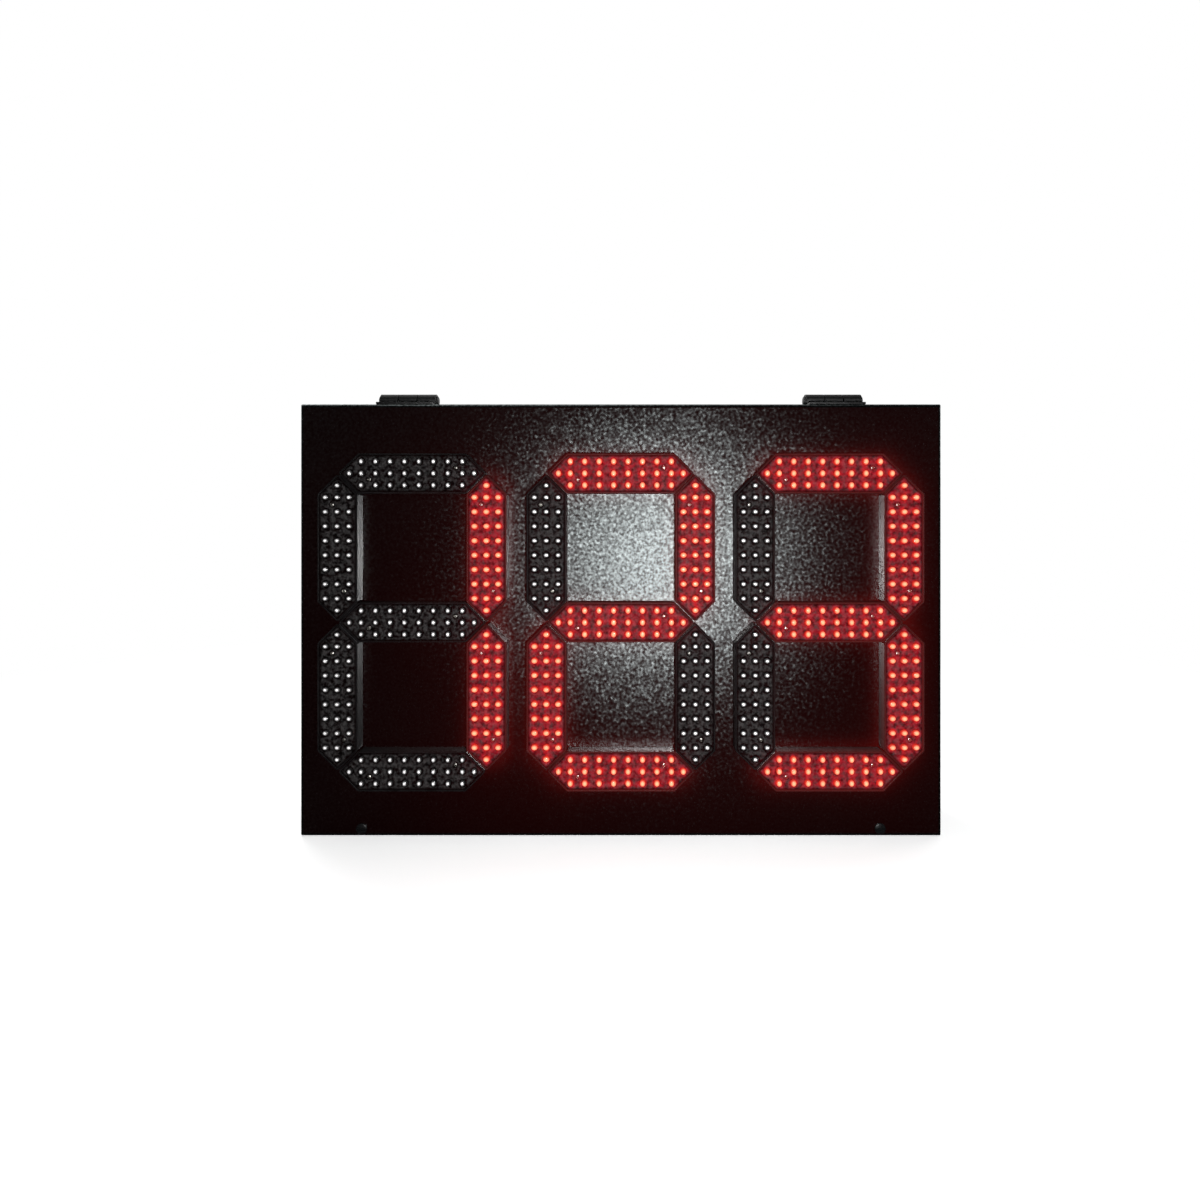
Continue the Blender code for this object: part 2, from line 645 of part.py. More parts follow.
def board_mesh(name, size, front, parts):
    """A circuit board whose parts stand up from its face by their own heights, towards `front`."""
    half = BOARD_THICKNESS / 2
    board = block(name, (-size[0] / 2, -half, -size[1] / 2), (size[0] / 2, half, size[1] / 2))
    added = []
    for x, z, width, tall, height in parts:
        ends = sorted((0.0, front * (half + height)))
        added.append(block("part", (x - width / 2, ends[0], z - tall / 2),
                           (x + width / 2, ends[1], z + tall / 2)))
    return shaped(board, added=added)


def add_control_board(green):
    """The timer board on the cabinet's back wall: processor, relay, terminals and receiver."""
    wide, tall = CONTROL_BOARD_SIZE
    parts = [
        (0.0, 0.0, 0.014, 0.014, 0.0016),
        (-wide * 0.30, tall * 0.22, 0.019, 0.015, 0.015),
        (wide * 0.28, tall * 0.20, 0.030, 0.020, 0.004),
        (-wide * 0.10, tall * 0.25, 0.010, 0.010, 0.012),
    ]
    for i in range(4):
        parts.append(((i - 1.5) * wide * 0.18, -tall * 0.38, 0.016, 0.010, 0.010))
    mesh = board_mesh("control_board", CONTROL_BOARD_SIZE, -1, parts)
    y = CABINET_REAR - SHEET - STANDOFF_HEIGHT - TOUCH_GAP - BOARD_THICKNESS / 2
    add_piece("control_board", mesh, green, (CONTROL_BOARD_X, y, CONTROL_BOARD_Z))


def add_driver_board(door_axis, green):
    """The lamp drivers on the back of the door: a chip and a connector for each digit."""
    wide, tall = DRIVER_BOARD_SIZE
    parts = []
    for digit in range(3):
        x = (digit - 1) * wide * 0.3
        parts.append((x - wide * 0.05, 0.0, 0.018, 0.008, 0.0022))
        parts.append((x + wide * 0.05, 0.0, 0.018, 0.008, 0.0022))
        parts.append((x, tall * 0.3, 0.026, 0.006, 0.0055))
    mesh = board_mesh("driver_board", DRIVER_BOARD_SIZE, 1, parts)
    y = DOOR_FRONT + SHEET + STANDOFF_HEIGHT + TOUCH_GAP + BOARD_THICKNESS / 2
    x, z = driver_board_place()
    add_piece("driver_board", mesh, green, (x, y, z), door_axis)


def add_power_supply():
    """An enclosed supply whose lower edge steps back to a row of terminals."""
    wide, deep, tall = SUPPLY_SIZE
    base = -TOUCH_GAP
    face = base - deep
    step = face + SUPPLY_TERMINAL_STEP
    side = [(base, -tall / 2), (base, tall / 2), (face, tall / 2),
            (face, SUPPLY_TERMINAL_DEPTH - tall / 2), (step, SUPPLY_TERMINAL_DEPTH - tall / 2),
            (step, -tall / 2)]
    rings = [[(x, y, z) for y, z in side] for x in (-wide / 2, wide / 2)]
    place = (SUPPLY_X, CABINET_REAR - SHEET, SUPPLY_Z)
    zinc = make_material("supply_zinc", (0.60, 0.61, 0.62), 0.35, 0.9)
    add_piece("power_supply", loft("power_supply", rings), zinc, place)


def main():
    clear_scene()
    steel = make_material("fastener_steel", (0.30, 0.30, 0.31), 0.35, 0.9)
    green = make_material("board_green", (0.02, 0.16, 0.07), 0.45)
    door_axis = add_axis("door_hinge_axis", (0, HINGE_Y, HINGE_Z))
    black = add_door_panel(door_axis)
    add_modules(door_axis)
    add_driver_board(door_axis, green)
    add_fasteners(door_axis, steel)
    add_hinges(door_axis, steel)
    add_cabinet(black)
    add_gasket()
    add_rails(black)
    add_gland()
    add_control_board(green)
    add_power_supply()


main()
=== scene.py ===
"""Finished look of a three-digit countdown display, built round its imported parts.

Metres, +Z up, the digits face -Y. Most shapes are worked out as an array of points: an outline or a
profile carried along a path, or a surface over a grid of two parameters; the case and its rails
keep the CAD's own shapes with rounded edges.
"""

import json
import math

import bmesh
import bpy
import numpy as np
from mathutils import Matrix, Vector

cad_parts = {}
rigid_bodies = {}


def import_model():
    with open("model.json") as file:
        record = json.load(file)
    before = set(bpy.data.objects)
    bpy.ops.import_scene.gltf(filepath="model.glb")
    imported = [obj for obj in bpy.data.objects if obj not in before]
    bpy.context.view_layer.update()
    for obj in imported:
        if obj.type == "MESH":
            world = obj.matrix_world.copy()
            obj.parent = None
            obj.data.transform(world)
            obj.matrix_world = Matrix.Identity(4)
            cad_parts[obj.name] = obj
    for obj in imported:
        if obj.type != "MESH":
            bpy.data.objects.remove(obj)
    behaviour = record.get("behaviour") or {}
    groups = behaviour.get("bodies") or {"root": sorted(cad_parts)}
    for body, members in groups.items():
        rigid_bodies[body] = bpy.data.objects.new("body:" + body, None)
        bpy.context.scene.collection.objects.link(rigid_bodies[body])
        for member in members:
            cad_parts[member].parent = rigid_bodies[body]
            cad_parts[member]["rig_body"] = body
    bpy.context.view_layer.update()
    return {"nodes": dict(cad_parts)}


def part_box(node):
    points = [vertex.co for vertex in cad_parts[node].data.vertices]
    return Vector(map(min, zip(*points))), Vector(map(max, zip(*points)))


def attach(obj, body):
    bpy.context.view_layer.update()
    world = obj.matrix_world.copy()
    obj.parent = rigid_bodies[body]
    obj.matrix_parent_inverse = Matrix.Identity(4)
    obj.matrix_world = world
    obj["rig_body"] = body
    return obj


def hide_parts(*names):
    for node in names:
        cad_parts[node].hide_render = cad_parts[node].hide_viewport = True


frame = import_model()

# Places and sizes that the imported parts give
DOOR_LOW, DOOR_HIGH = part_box("door_panel")
DOOR_FRONT = DOOR_LOW.y
PANEL_HEIGHT = DOOR_HIGH.z
LEVEL_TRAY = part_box("digit_2_middle_housing")
LEVEL_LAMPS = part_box("digit_2_middle_lamps")
MODULE_TIP = (LEVEL_TRAY[1].x - LEVEL_TRAY[0].x) / 2
MODULE_HALF = (LEVEL_TRAY[1].z - LEVEL_TRAY[0].z) / 2
BLOCK_TIP = (LEVEL_LAMPS[1].x - LEVEL_LAMPS[0].x) / 2
BLOCK_HALF = (LEVEL_LAMPS[1].z - LEVEL_LAMPS[0].z) / 2
CABINET_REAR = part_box("cabinet")[1].y
PIN_BODY = frame["nodes"]["left_hinge_pin"]["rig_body"]

# Door, cabinet and what is in it
SHEET = 0.0015
DOOR_DEPTH = 0.016
LIP_WIDTH = 0.020
PAN_CORNER = 0.0012
PAN_GRID = (100, 68)
FOLD_RADIUS = 0.0032
BOARD_INSET = 0.006
BOARD_THICKNESS = 0.0016
SEAL_WIDTH = 0.0075
RAIL_SHEET = 0.002
SUPPLY_STEP_DEPTH = 0.012
SUPPLY_STEP_HEIGHT = 0.018
SUPPLY_SLOTS = 24
TERMINALS = 9
TERMINAL_WIDTH = 0.0094
GLAND_BORE = 0.0055
GLAND_CORNER = 0.0135

# Trays and their faces
SEAT_GAP = 0.0003
TRAY_WALL = 0.0012
TRAY_FLOOR = 0.0015
TRAY_CORNER = 0.0018
RIM_STEP = 0.0008
OUTLET_RADIUS = 0.005
OUTLET_STANDOUT = 0.004
OUTLET_WALL = 0.0012
BLOCK_DEPTH = 0.004
FACE_COLUMNS = 196
FACE_ROWS = 50

# Places along Y, from the panel's front
RIM_Y = LEVEL_TRAY[0].y - DOOR_FRONT
FACE_Y = LEVEL_TRAY[0].y + RIM_STEP - DOOR_FRONT
LENS_TIP_Y = LEVEL_LAMPS[0].y - DOOR_FRONT

# Lamps and the two screws of a module
LAMP_COLUMNS = 8
LAMP_MARGIN = 0.0061
LAMP_ROW = MODULE_HALF - LAMP_MARGIN
LAMP_END = MODULE_TIP - LAMP_MARGIN * math.sqrt(2)
LAMP_PITCH = 2 * (LAMP_END - LAMP_ROW) / (LAMP_COLUMNS - 1)
LENS_LONG = 0.0026
LENS_SHORT = 0.0022
LENS_SIDES = 10
WELL_RADIUS = 0.0030
WELL_DEPTH = 0.0011
WELL_WALL = 0.0005
WELL_SHADE = 0.0007
BORDER = 0.0020
SCREW_WELL_RADIUS = 0.0020
SCREW_RADIUS = 0.0015
SCREW_X = LAMP_END - LAMP_ROW - LAMP_PITCH / 2
SCREW_Z = LAMP_ROW / 2
# Painted red light: a glow round lit lamps on faces, tray rims and screws, and a red glow with a small base
# over the panel near lit modules
GLOW_REACH = 0.0020
GLOW_STRENGTH = 1.40
PAINTED_GLOW_BASE = 0.0012
PAINTED_GLOW_TERMS = ((0.0040, 0.060), (0.036, 0.005))
PAINTED_GLOW_SHARES = (0.2, 0.4)

# Hinges
HINGE_LENGTH = 0.044
HINGE_PLAY = 0.0003
LEAF_HALF = 0.0216
LEAF_REACH = 0.0150
LEAF_THICKNESS = 0.0016
LEAF_SCREWS = (-0.0155, 0, 0.0155)
KNUCKLE_RADIUS = 0.005

SEGMENT_NAMES = ("top", "upper_left", "upper_right", "middle", "lower_left", "lower_right", "bottom")
LIT_SEGMENTS = (
    ("upper_right", "lower_right"),
    ("top", "upper_right", "middle", "lower_left", "bottom"),
    ("top", "upper_right", "middle", "lower_right", "bottom"),
)


# Surfaces


def grid_faces(rows, columns, wrap=False, loop=False):
    """Quads of a grid: (i, j), (i, j + 1), (i + 1, j + 1), (i + 1, j), joined round if it wraps or loops."""
    i = np.arange(rows if loop else rows - 1)[:, None]
    j = np.arange(columns if wrap else columns - 1)[None, :]
    here, below = i * columns, (i + 1) % rows * columns
    right = (j + 1) % columns
    corners = np.broadcast_arrays(here + j, here + right, below + right, below + j)
    return np.stack(corners, axis=-1).reshape(-1, 4)


def triangles(a, b, c):
    """Rows of three point numbers, with -1 in place of a fourth."""
    return np.stack(np.broadcast_arrays(a, b, c, -1), axis=1)


def band(a, b):
    """Quads between two closed rings of point numbers: a, the next a, the next b, b."""
    return np.stack([a, np.roll(a, -1), np.roll(b, -1), b], axis=1)


def outward(points, faces):
    """The faces turned to point out: the sum of a . (b x c + c x d) over a closed skin is positive then."""
    a, b, c = (points[faces[:, i]] for i in range(3))
    d = points[np.where(faces[:, 3] < 0, faces[:, 0], faces[:, 3])]
    if (a * (np.cross(b, c) + np.cross(c, d))).sum() > 0:
        return faces
    three = faces[:, 3] < 0
    flipped = faces[:, [0, 3, 2, 1]]
    flipped[three] = faces[three][:, [0, 2, 1, 3]]
    return flipped


def skin(rings, loop=False):
    """A closed skin through rings of points, which ends in fans on the end rings' means or runs in a loop."""
    rings = np.asarray(rings, float)
    rows, columns = rings.shape[:2]
    points = rings.reshape(-1, 3)
    faces = grid_faces(rows, columns, wrap=True, loop=loop)
    if not loop:
        first, count = np.arange(columns), len(points)
        last = first + (rows - 1) * columns
        start = triangles(count, np.roll(first, -1), first)
        faces = np.vstack([faces, start, triangles(count + 1, last, np.roll(last, -1))])
        points = np.vstack([points, rings[0].mean(0), rings[-1].mean(0)])
    return points, outward(points, faces)


def edge_loop(rows, columns):
    """The numbers of the points round a grid's edge, in order, each once."""
    index = np.arange(rows * columns).reshape(rows, columns)
    return np.concatenate([index[:-1, 0], index[-1, :-1], index[:0:-1, -1], index[0, :0:-1]])


def relief(front, back):
    """A front over a grid of points, its edge carried back to a depth and closed there on its middle."""
    rows, columns = front.shape[:2]
    loop = edge_loop(rows, columns)
    points = front.reshape(-1, 3)
    rear = points[loop] * (1, 0, 1) + (0, back, 0)
    ring = len(points) + np.arange(len(loop))
    closing = triangles(ring, np.roll(ring, -1), len(points) + len(loop))
    faces = np.vstack([grid_faces(rows, columns), band(loop, ring), closing])
    points = np.vstack([points, rear, rear.mean(0)])
    return points, outward(points, faces)


def inset_polygon(corners, inset):
    """A convex polygon's corners c moved in by d: c - d (m + n) / (1 + m . n), m and n its sides' normals."""
    sides = np.roll(corners, -1, axis=0) - corners
    after = np.stack([sides[:, 1], -sides[:, 0]], axis=1) / np.linalg.norm(sides, axis=1)[:, None]
    before = np.roll(after, 1, axis=0)
    dot = (before * after).sum(1)[:, None]
    return corners - inset * (before + after) / (1 + dot), before, after


def outline(corners, radius, inset, steps):
    """A convex outline with round corners.

    Each corner is an arc c + r (cos a, sin a), with a from one side's normal to the next's.
    """
    corners = np.asarray(corners, float)
    arc = max(radius - inset, radius * 0.08)
    centres, before, after = inset_polygon(corners, inset + arc)
    start = np.arctan2(before[:, 1], before[:, 0])
    turn = (np.arctan2(after[:, 1], after[:, 0]) - start) % (2 * np.pi)
    angle = start[:, None] + turn[:, None] * np.linspace(0, 1, steps + 1)
    return (centres[:, None] + arc * np.stack([np.cos(angle), np.sin(angle)], axis=-1)).reshape(-1, 2)


def softened(profile, radius, steps=2):
    """A profile whose inner corners c become curves from a to b: (1 - t)^2 a + 2 t (1 - t) c + t^2 b."""
    profile = np.asarray(profile, float)
    t = np.linspace(0, 1, steps + 1)[:, None]
    rows = [profile[:1]]
    for before, corner, after in zip(profile, profile[1:], profile[2:]):
        back, on = before - corner, after - corner
        reach = min(radius, 0.45 * np.linalg.norm(back), 0.45 * np.linalg.norm(on))
        a = corner + back / np.linalg.norm(back) * reach
        b = corner + on / np.linalg.norm(on) * reach
        rows.append((1 - t) ** 2 * a + 2 * t * (1 - t) * corner + t**2 * b)
    rows.append(profile[-1:])
    return np.vstack(rows)


def carried(corners, radius, profile, steps=4):
    """A profile of (inset, depth) pairs carried round an outline in the XZ plane, one ring for each pair."""
    flat = np.stack([outline(corners, radius, inset, steps) for inset, _ in profile])
    depths = np.asarray(profile)[:, 1]
    return np.stack([flat[..., 0], np.broadcast_to(depths[:, None], flat.shape[:2]), flat[..., 1]], axis=-1)


def angles(sides):
    """Evenly spaced angles round a circle: 2 pi i / sides."""
    return 2 * np.pi * np.arange(sides) / sides


def turned(profile, sides, form=1.0):
    """Pairs (radius, depth) carried round the Y axis: (r f cos a, y, r f sin a), with f the form at a."""
    radius, depth = np.asarray(profile, float).T
    reach = radius[:, None] * form
    x, z = reach * np.cos(angles(sides)), reach * np.sin(angles(sides))
    return np.stack([x, np.broadcast_to(depth[:, None], x.shape), z], axis=-1)


def turned_skin(groups, sides, loop=False):
    """A skin whose profile changes form on its way: (form, profile) groups, each carried round the Y axis."""
    return skin(np.concatenate([turned(profile, sides, form) for form, profile in groups]), loop)


def six_sided(sides):
    """The form of a hexagon at each angle a: cos 30 / cos(a mod 60 - 30), which is 1 at its corners."""
    return math.cos(math.pi / 6) / np.cos(angles(sides) % (math.pi / 3) - math.pi / 6)


def rectangle(half_x, half_z, x=0.0, z=0.0):
    """The four corners of a rectangle in the XZ plane, anticlockwise in x and z."""
    return np.array([(-half_x, -half_z), (half_x, -half_z), (half_x, half_z), (-half_x, half_z)]) + (x, z)


def hexagon(tip, half):
    """The six corners of a long hexagon with 45 degree ends, anticlockwise in x and z."""
    end = tip - half
    return np.array([(tip, 0), (end, half), (-end, half), (-tip, 0), (-end, -half), (end, -half)])


def rounded_block(low, high, radius, edge=None, steps=3):
    """A box between two corners: a profile with soft ends carried round an outline with round corners."""
    low, high = np.minimum(low, high), np.maximum(low, high)
    half, centre = (high - low) / 2, (high + low) / 2
    corners = rectangle(half[0], half[2], centre[0], centre[2])
    edge = edge or radius
    inside = edge * 1.5
    profile = softened([(inside, low[1]), (0, low[1]), (0, high[1]), (inside, high[1])], edge)
    return skin(carried(corners, radius, profile, steps))


def block(half_x, half_z, front, rear, radius, edge=None, steps=3):
    """A rounded box about the Y axis, from its front to its rear."""
    return rounded_block((-half_x, front, -half_z), (half_x, rear, half_z), radius, edge, steps)


def folded_sheet(middle, half, low, high, soft=0.0003):
    """A bent sheet: a middle line in YZ moved by +-half along its normals n, carried along X.

    Its points are m +- h n, with h less by the soft edge at both ends.
    """
    middle = np.asarray(middle, float)
    along = np.gradient(middle, axis=0)
    along /= np.linalg.norm(along, axis=1)[:, None]
    normal = np.stack([-along[:, 1], along[:, 0]], axis=1)
    rings = []
    for x, reach in ((low, half - soft), (low + soft, half), (high - soft, half), (high, half - soft)):
        line = np.vstack([middle + normal * reach, (middle - normal * reach)[::-1]])
        rings.append(np.column_stack([np.full(len(line), x), line]))
    rows, columns = len(rings), len(rings[0])
    points = np.vstack(rings)
    i = np.arange(len(middle) - 1)
    cap = np.stack([i, i + 1, columns - 2 - i, columns - 1 - i], axis=1)
    faces = np.vstack([grid_faces(rows, columns, wrap=True), cap[:, ::-1], cap + (rows - 1) * columns])
    return points, outward(points, faces)


def swapped(shape, order, signs):
    """A shape with its axes taken in another order, each times its sign."""
    points, *rest = shape
    return (points[:, order] * signs, *rest)


def moved(shape, place, upright=False):
    """A shape set at a place. Upright turns it a quarter round Y first: (x, y, z) becomes (z, y, -x)."""
    points, *rest = swapped(shape, [2, 1, 0], (1, 1, -1)) if upright else shape
    return (points + place, *rest)


def all_at(shapes, place, upright=False):
    """Several shapes set at one place."""
    return [moved(shape, place, upright) for shape in shapes]


def along_x(shape):
    """A shape made round Y laid along X: (x, y, z) becomes (y, -x, z)."""
    return swapped(shape, [1, 0, 2], (1, -1, 1))


def laid(shape):
    """A shape laid on its back, so that its front faces up: (x, y, z) becomes (x, z, -y)."""
    return swapped(shape, [0, 2, 1], (1, 1, -1))


def turned_about(shape):
    """A shape turned half round Z, so that its front faces back: (x, y, z) becomes (-x, -y, z)."""
    return swapped(shape, [0, 1, 2], (-1, -1, 1))


def spread(count, pitch):
    """Evenly spaced places about 0: (i - (count - 1) / 2) pitch."""
    return (np.arange(count) - (count - 1) / 2) * pitch


def near_corners(low, high, inset, y):
    """Four places at depth y, an inset in from the corners of a box."""
    return [(x, y, z) for x in (low[0] + inset, high[0] - inset) for z in (low[2] + inset, high[2] - inset)]


def ramp(values, low, high):
    """Smooth step: t^2 (3 - 2 t), with t the share of the way from low to high."""
    t = np.clip((values - low) / (high - low), 0, 1)
    return t * t * (3 - 2 * t)


# Pieces


def as_piece(mesh, name, material, body, nodes, crease=35):
    """A mesh as a piece of the display, smooth up to the crease angle, with its body and nodes."""
    mesh.materials.clear()
    mesh.materials.append(material)
    mesh.shade_smooth()
    mesh.set_sharp_from_angle(angle=math.radians(crease))
    piece = bpy.data.objects.new(name, mesh)
    bpy.context.scene.collection.objects.link(piece)
    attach(piece, body)
    if nodes:
        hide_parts(*nodes)
    return piece


def make_piece(name, shapes, material, body, nodes=(), crease=35):
    """One mesh from several shapes. A shape is (points, faces) and may carry a dict of its points' values."""
    sizes = [len(shape[0]) for shape in shapes]
    starts = np.cumsum([0, *sizes[:-1]])
    points = np.vstack([shape[0] for shape in shapes])
    faces = np.vstack([np.where(shape[1] < 0, -1, shape[1] + start) for shape, start in zip(shapes, starts)])
    counts = np.where(faces[:, 3] < 0, 3, 4)
    corners = faces[faces >= 0]
    mesh = bpy.data.meshes.new(name)
    mesh.vertices.add(len(points))
    mesh.vertices.foreach_set("co", points.astype(np.float32).reshape(-1))
    mesh.loops.add(len(corners))
    mesh.loops.foreach_set("vertex_index", corners.astype(np.int32))
    mesh.polygons.add(len(faces))
    mesh.polygons.foreach_set("loop_start", (np.cumsum(counts) - counts).astype(np.int32))
    mesh.update(calc_edges=True)
    carries = [shape[2] if len(shape) > 2 else {} for shape in shapes]
    for key in sorted({key for values in carries for key in values}):
        parts = [values.get(key, np.zeros(size)) for values, size in zip(carries, sizes)]
        attribute = mesh.attributes.new(key, "FLOAT", "POINT")
        attribute.data.foreach_set("value", np.concatenate(parts).astype(np.float32))
    return as_piece(mesh, name, material, body, nodes, crease)


def dressed_copy(name, node, material, width):
    """A CAD node's own shape as one merged mesh, flat areas joined, its edges rounded by a live Bevel."""
    source = frame["nodes"][node]
    bm = bmesh.new()
    bm.from_mesh(source.data)
    bmesh.ops.remove_doubles(bm, verts=bm.verts, dist=1e-6)
    bmesh.ops.dissolve_limit(bm, angle_limit=math.radians(0.5), verts=bm.verts, edges=bm.edges)
    mesh = bpy.data.meshes.new(name)
    bm.to_mesh(mesh)
    bm.free()
    piece = as_piece(mesh, name, material, source["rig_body"], [node])
    bevel = piece.modifiers.new("Round edges", "BEVEL")
    bevel.width = width
    bevel.segments = 2
    bevel.limit_method = "ANGLE"
    bevel.angle_limit = math.radians(30)
    bevel.harden_normals = True


# Finishes


class Nodes:
    """A node tree with short calls for its nodes. Each gives an output that can feed another node."""

    def __init__(self, tree):
        self.tree = tree

    def feed(self, value, socket):
        """Sets a socket to a number, a vector or a colour, or links another node's output to it."""
        if isinstance(value, bpy.types.NodeSocket):
            self.tree.links.new(value, socket)
        elif isinstance(value, tuple) and len(value) < len(socket.default_value):
            socket.default_value = (*value, 1)
        else:
            socket.default_value = value

    def node(self, kind, inputs=(), output=0, **settings):
        """A new node with its settings, and what goes into its inputs, by name or in their order."""
        made = self.tree.nodes.new("ShaderNode" + kind)
        for name, value in settings.items():
            setattr(made, name, value)
        for key, value in inputs.items() if isinstance(inputs, dict) else enumerate(inputs):
            if value is not None:
                self.feed(value, made.inputs[key])
        return made.outputs[output] if made.outputs else None

    def math(self, kind, a, b):
        """One sum, product or other operation on two values."""
        return self.node("Math", (a, b), operation=kind)

    def vector(self, kind, inputs, output=0):
        """One operation on vectors."""
        return self.node("VectorMath", inputs, output, operation=kind)


class Finish(Nodes):
    """A Principled material with short calls for what feeds it, over Object coordinates."""

    def __init__(self, name, roughness=0.5, metallic=0.0, specular=0.5, coat=0.0):
        self.material = bpy.data.materials.new(name)
        self.material.use_nodes = True
        super().__init__(self.material.node_tree)
        self.shader = self.tree.nodes["Principled BSDF"]
        self.normal = None
        self.place = self.node("TexCoord", output="Object")
        self.shade("Roughness", roughness)
        self.shade("Metallic", metallic)
        self.shade("Specular IOR Level", specular)
        self.shade("Coat Weight", coat)
        self.shade("Coat Roughness", 0.15)

    def shade(self, socket, value):
        """Feeds one of the shader's own inputs."""
        self.feed(value, self.shader.inputs[socket])

    def colour(self, source):
        """What the surface's own colour is, or comes from."""
        self.shade("Base Color", source)

    def glow(self, colour, strength):
        """Light that the surface gives off."""
        self.shade("Emission Color", colour)
        self.shade("Emission Strength", strength)

    def roughness(self, source, low, high):
        """Roughness between two values, by the middle part of a noise."""
        self.shade("Roughness", self.ramp(source, [(0.3, low), (0.7, high)]))

    def attribute(self, name):
        """A value that the mesh carries at its points."""
        return self.node("Attribute", output="Fac", attribute_name=name)

    def noise(self, scale, detail, rough=0.5, stretch=None, output="Fac"):
        """Noise with its scale in features per metre."""
        place = self.node("Mapping", {"Vector": self.place, "Scale": stretch}) if stretch else self.place
        inputs = {"Vector": place, "Scale": scale, "Detail": detail, "Roughness": rough}
        return self.node("TexNoise", inputs, output)

    def cells(self, scale, randomness):
        """Distance to the nearest cell centre."""
        inputs = {"Vector": self.place, "Scale": scale, "Randomness": randomness}
        return self.node("TexVoronoi", inputs, "Distance")

    def ramp(self, source, stops):
        """A colour ramp through (place, colour or grey) stops."""
        colour = self.node("ValToRGB", (source,), "Color")
        elements = colour.node.color_ramp.elements
        while len(elements) < len(stops):
            elements.new(0.5)
        for element, (place, shade) in zip(elements, stops):
            element.position = place
            element.color = (*shade, 1) if isinstance(shade, tuple) else (shade, shade, shade, 1)
        return colour

    def mix(self, factor, a, b, kind="MIX"):
        """Two colours mixed by a factor."""
        return self.node("Mix", {0: factor, 6: a, 7: b}, 2, data_type="RGBA", blend_type=kind)

    def leaned(self, direction, share):
        """The normal leaned by a share of a direction: the unit vector of n + share d."""
        scaled = self.vector("SCALE", {0: direction, "Scale": share})
        total = self.vector("ADD", (self.node("NewGeometry", output="Normal"), scaled))
        return self.vector("NORMALIZE", (total,))

    def eased_normal(self, attribute, share):
        """The normal eased towards the part's front, n + share a f, with a from a vertex attribute."""
        front = self.node("VectorTransform", ((0, -1, 0),), vector_type="NORMAL",
                          convert_from="OBJECT", convert_to="WORLD")
        return self.leaned(front, self.math("MULTIPLY", self.attribute(attribute), share))

    def grain(self, scale, slope):
        """The normal leaned by slope times a noise vector, which has the same spread in every direction."""
        noise = self.noise(scale, 0.5, 0.4, output="Color")
        return self.leaned(self.vector("SUBTRACT", (noise, (0.5, 0.5, 0.5))), slope)

    def bump(self, *heights, start=None):
        """Bumps from (height source, strength, distance) triples, each on top of the one before."""
        self.normal = start
        for source, strength, distance in heights:
            inputs = {"Height": source, "Strength": strength, "Distance": distance, "Normal": self.normal}
            self.normal = self.node("Bump", inputs)
        self.shade("Normal", self.normal)

    def gloss(self, colour, roughness, index):
        """A gloss over the shader, stronger at a low angle, whose slopes t thin out as exp(-t^2 / a^2)."""
        inputs = {"Color": colour, "Roughness": roughness, "Normal": self.normal}
        layer = self.node("BsdfAnisotropic", inputs, distribution="BECKMANN")
        fresnel = self.node("Fresnel", {"IOR": index})
        both = self.node("MixShader", (fresnel, self.shader.outputs[0], layer))
        self.feed(both, self.tree.nodes["Material Output"].inputs["Surface"])


def coat_finish(name, low, high, slope, index):
    """Black powder coat with a speckled grain, a painted red glow near the lit lamps, which stands in for
    their spill of light, and thin dust.
    """
    f = Finish(name, specular=0.0)
    tint = np.array([0.90, 1.0, 1.0])
    speckle = f.ramp(f.noise(470, 1, 0.5), [(0.32, tuple(low * tint)), (0.68, tuple(high * tint))])
    f.colour(f.ramp(f.noise(9, 3, 0.6), [(0.35, (0.0007, 0.0007, 0.0008)), (0.75, (0.0018, 0.0017, 0.0017))]))
    f.bump((f.noise(2200, 1), 0.4, 0.00001), start=f.grain(440, slope))
    f.gloss(speckle, 0.361, index)
    # Painted red light on the front near the lit modules
    f.glow((1.0, 0.035, 0.03), f.math("MULTIPLY", f.attribute("haze"), 1.16))
    return f.material


def hinge_finish():
    """Black oxide on steel: a broad, dull shine with a fine mottle."""
    f = Finish("hinge_black", roughness=0.6, specular=0.0)
    mottle = f.noise(700, 2)
    f.colour(f.ramp(f.noise(140, 3), [(0.3, (0.0020, 0.0020, 0.0022)), (0.7, (0.0040, 0.0040, 0.0042))]))
    f.bump((mottle, 0.4, 0.00002))
    f.gloss(f.ramp(mottle, [(0.3, 0.15), (0.7, 0.26)]), 0.60, 2.7)
    return f.material


def tray_finish():
    """Satin black moulded plastic with a fine grain. Its rim has a painted red glow where the lamps are lit.

    The grain on its sides leans 13 to 34 degrees from the front, so they shine as a rounded side does.
    """
    f = Finish("tray_plastic")
    f.colour(f.ramp(f.noise(160, 3), [(0.3, (0.005, 0.005, 0.0052)), (0.7, (0.011, 0.011, 0.0115))]))
    f.shade("Specular IOR Level", f.math("ADD", 0.04, f.math("MULTIPLY", f.attribute("wall"), 0.36)))
    f.roughness(f.noise(240, 2), 0.31, 0.37)
    tenth = f.ramp(f.noise(900, 1), [(0.30, 0.150), (0.50, 0.235), (0.70, 0.440)])
    lean = f.eased_normal("wall", f.math("MULTIPLY", tenth, 10.0))
    f.bump((f.noise(1400, 2), 0.3, 0.00002), start=lean)
    # Painted red light from the lit lamps on the rim and front of the walls
    f.glow((1.0, 0.06, 0.05), f.attribute("glow"))
    return f.material


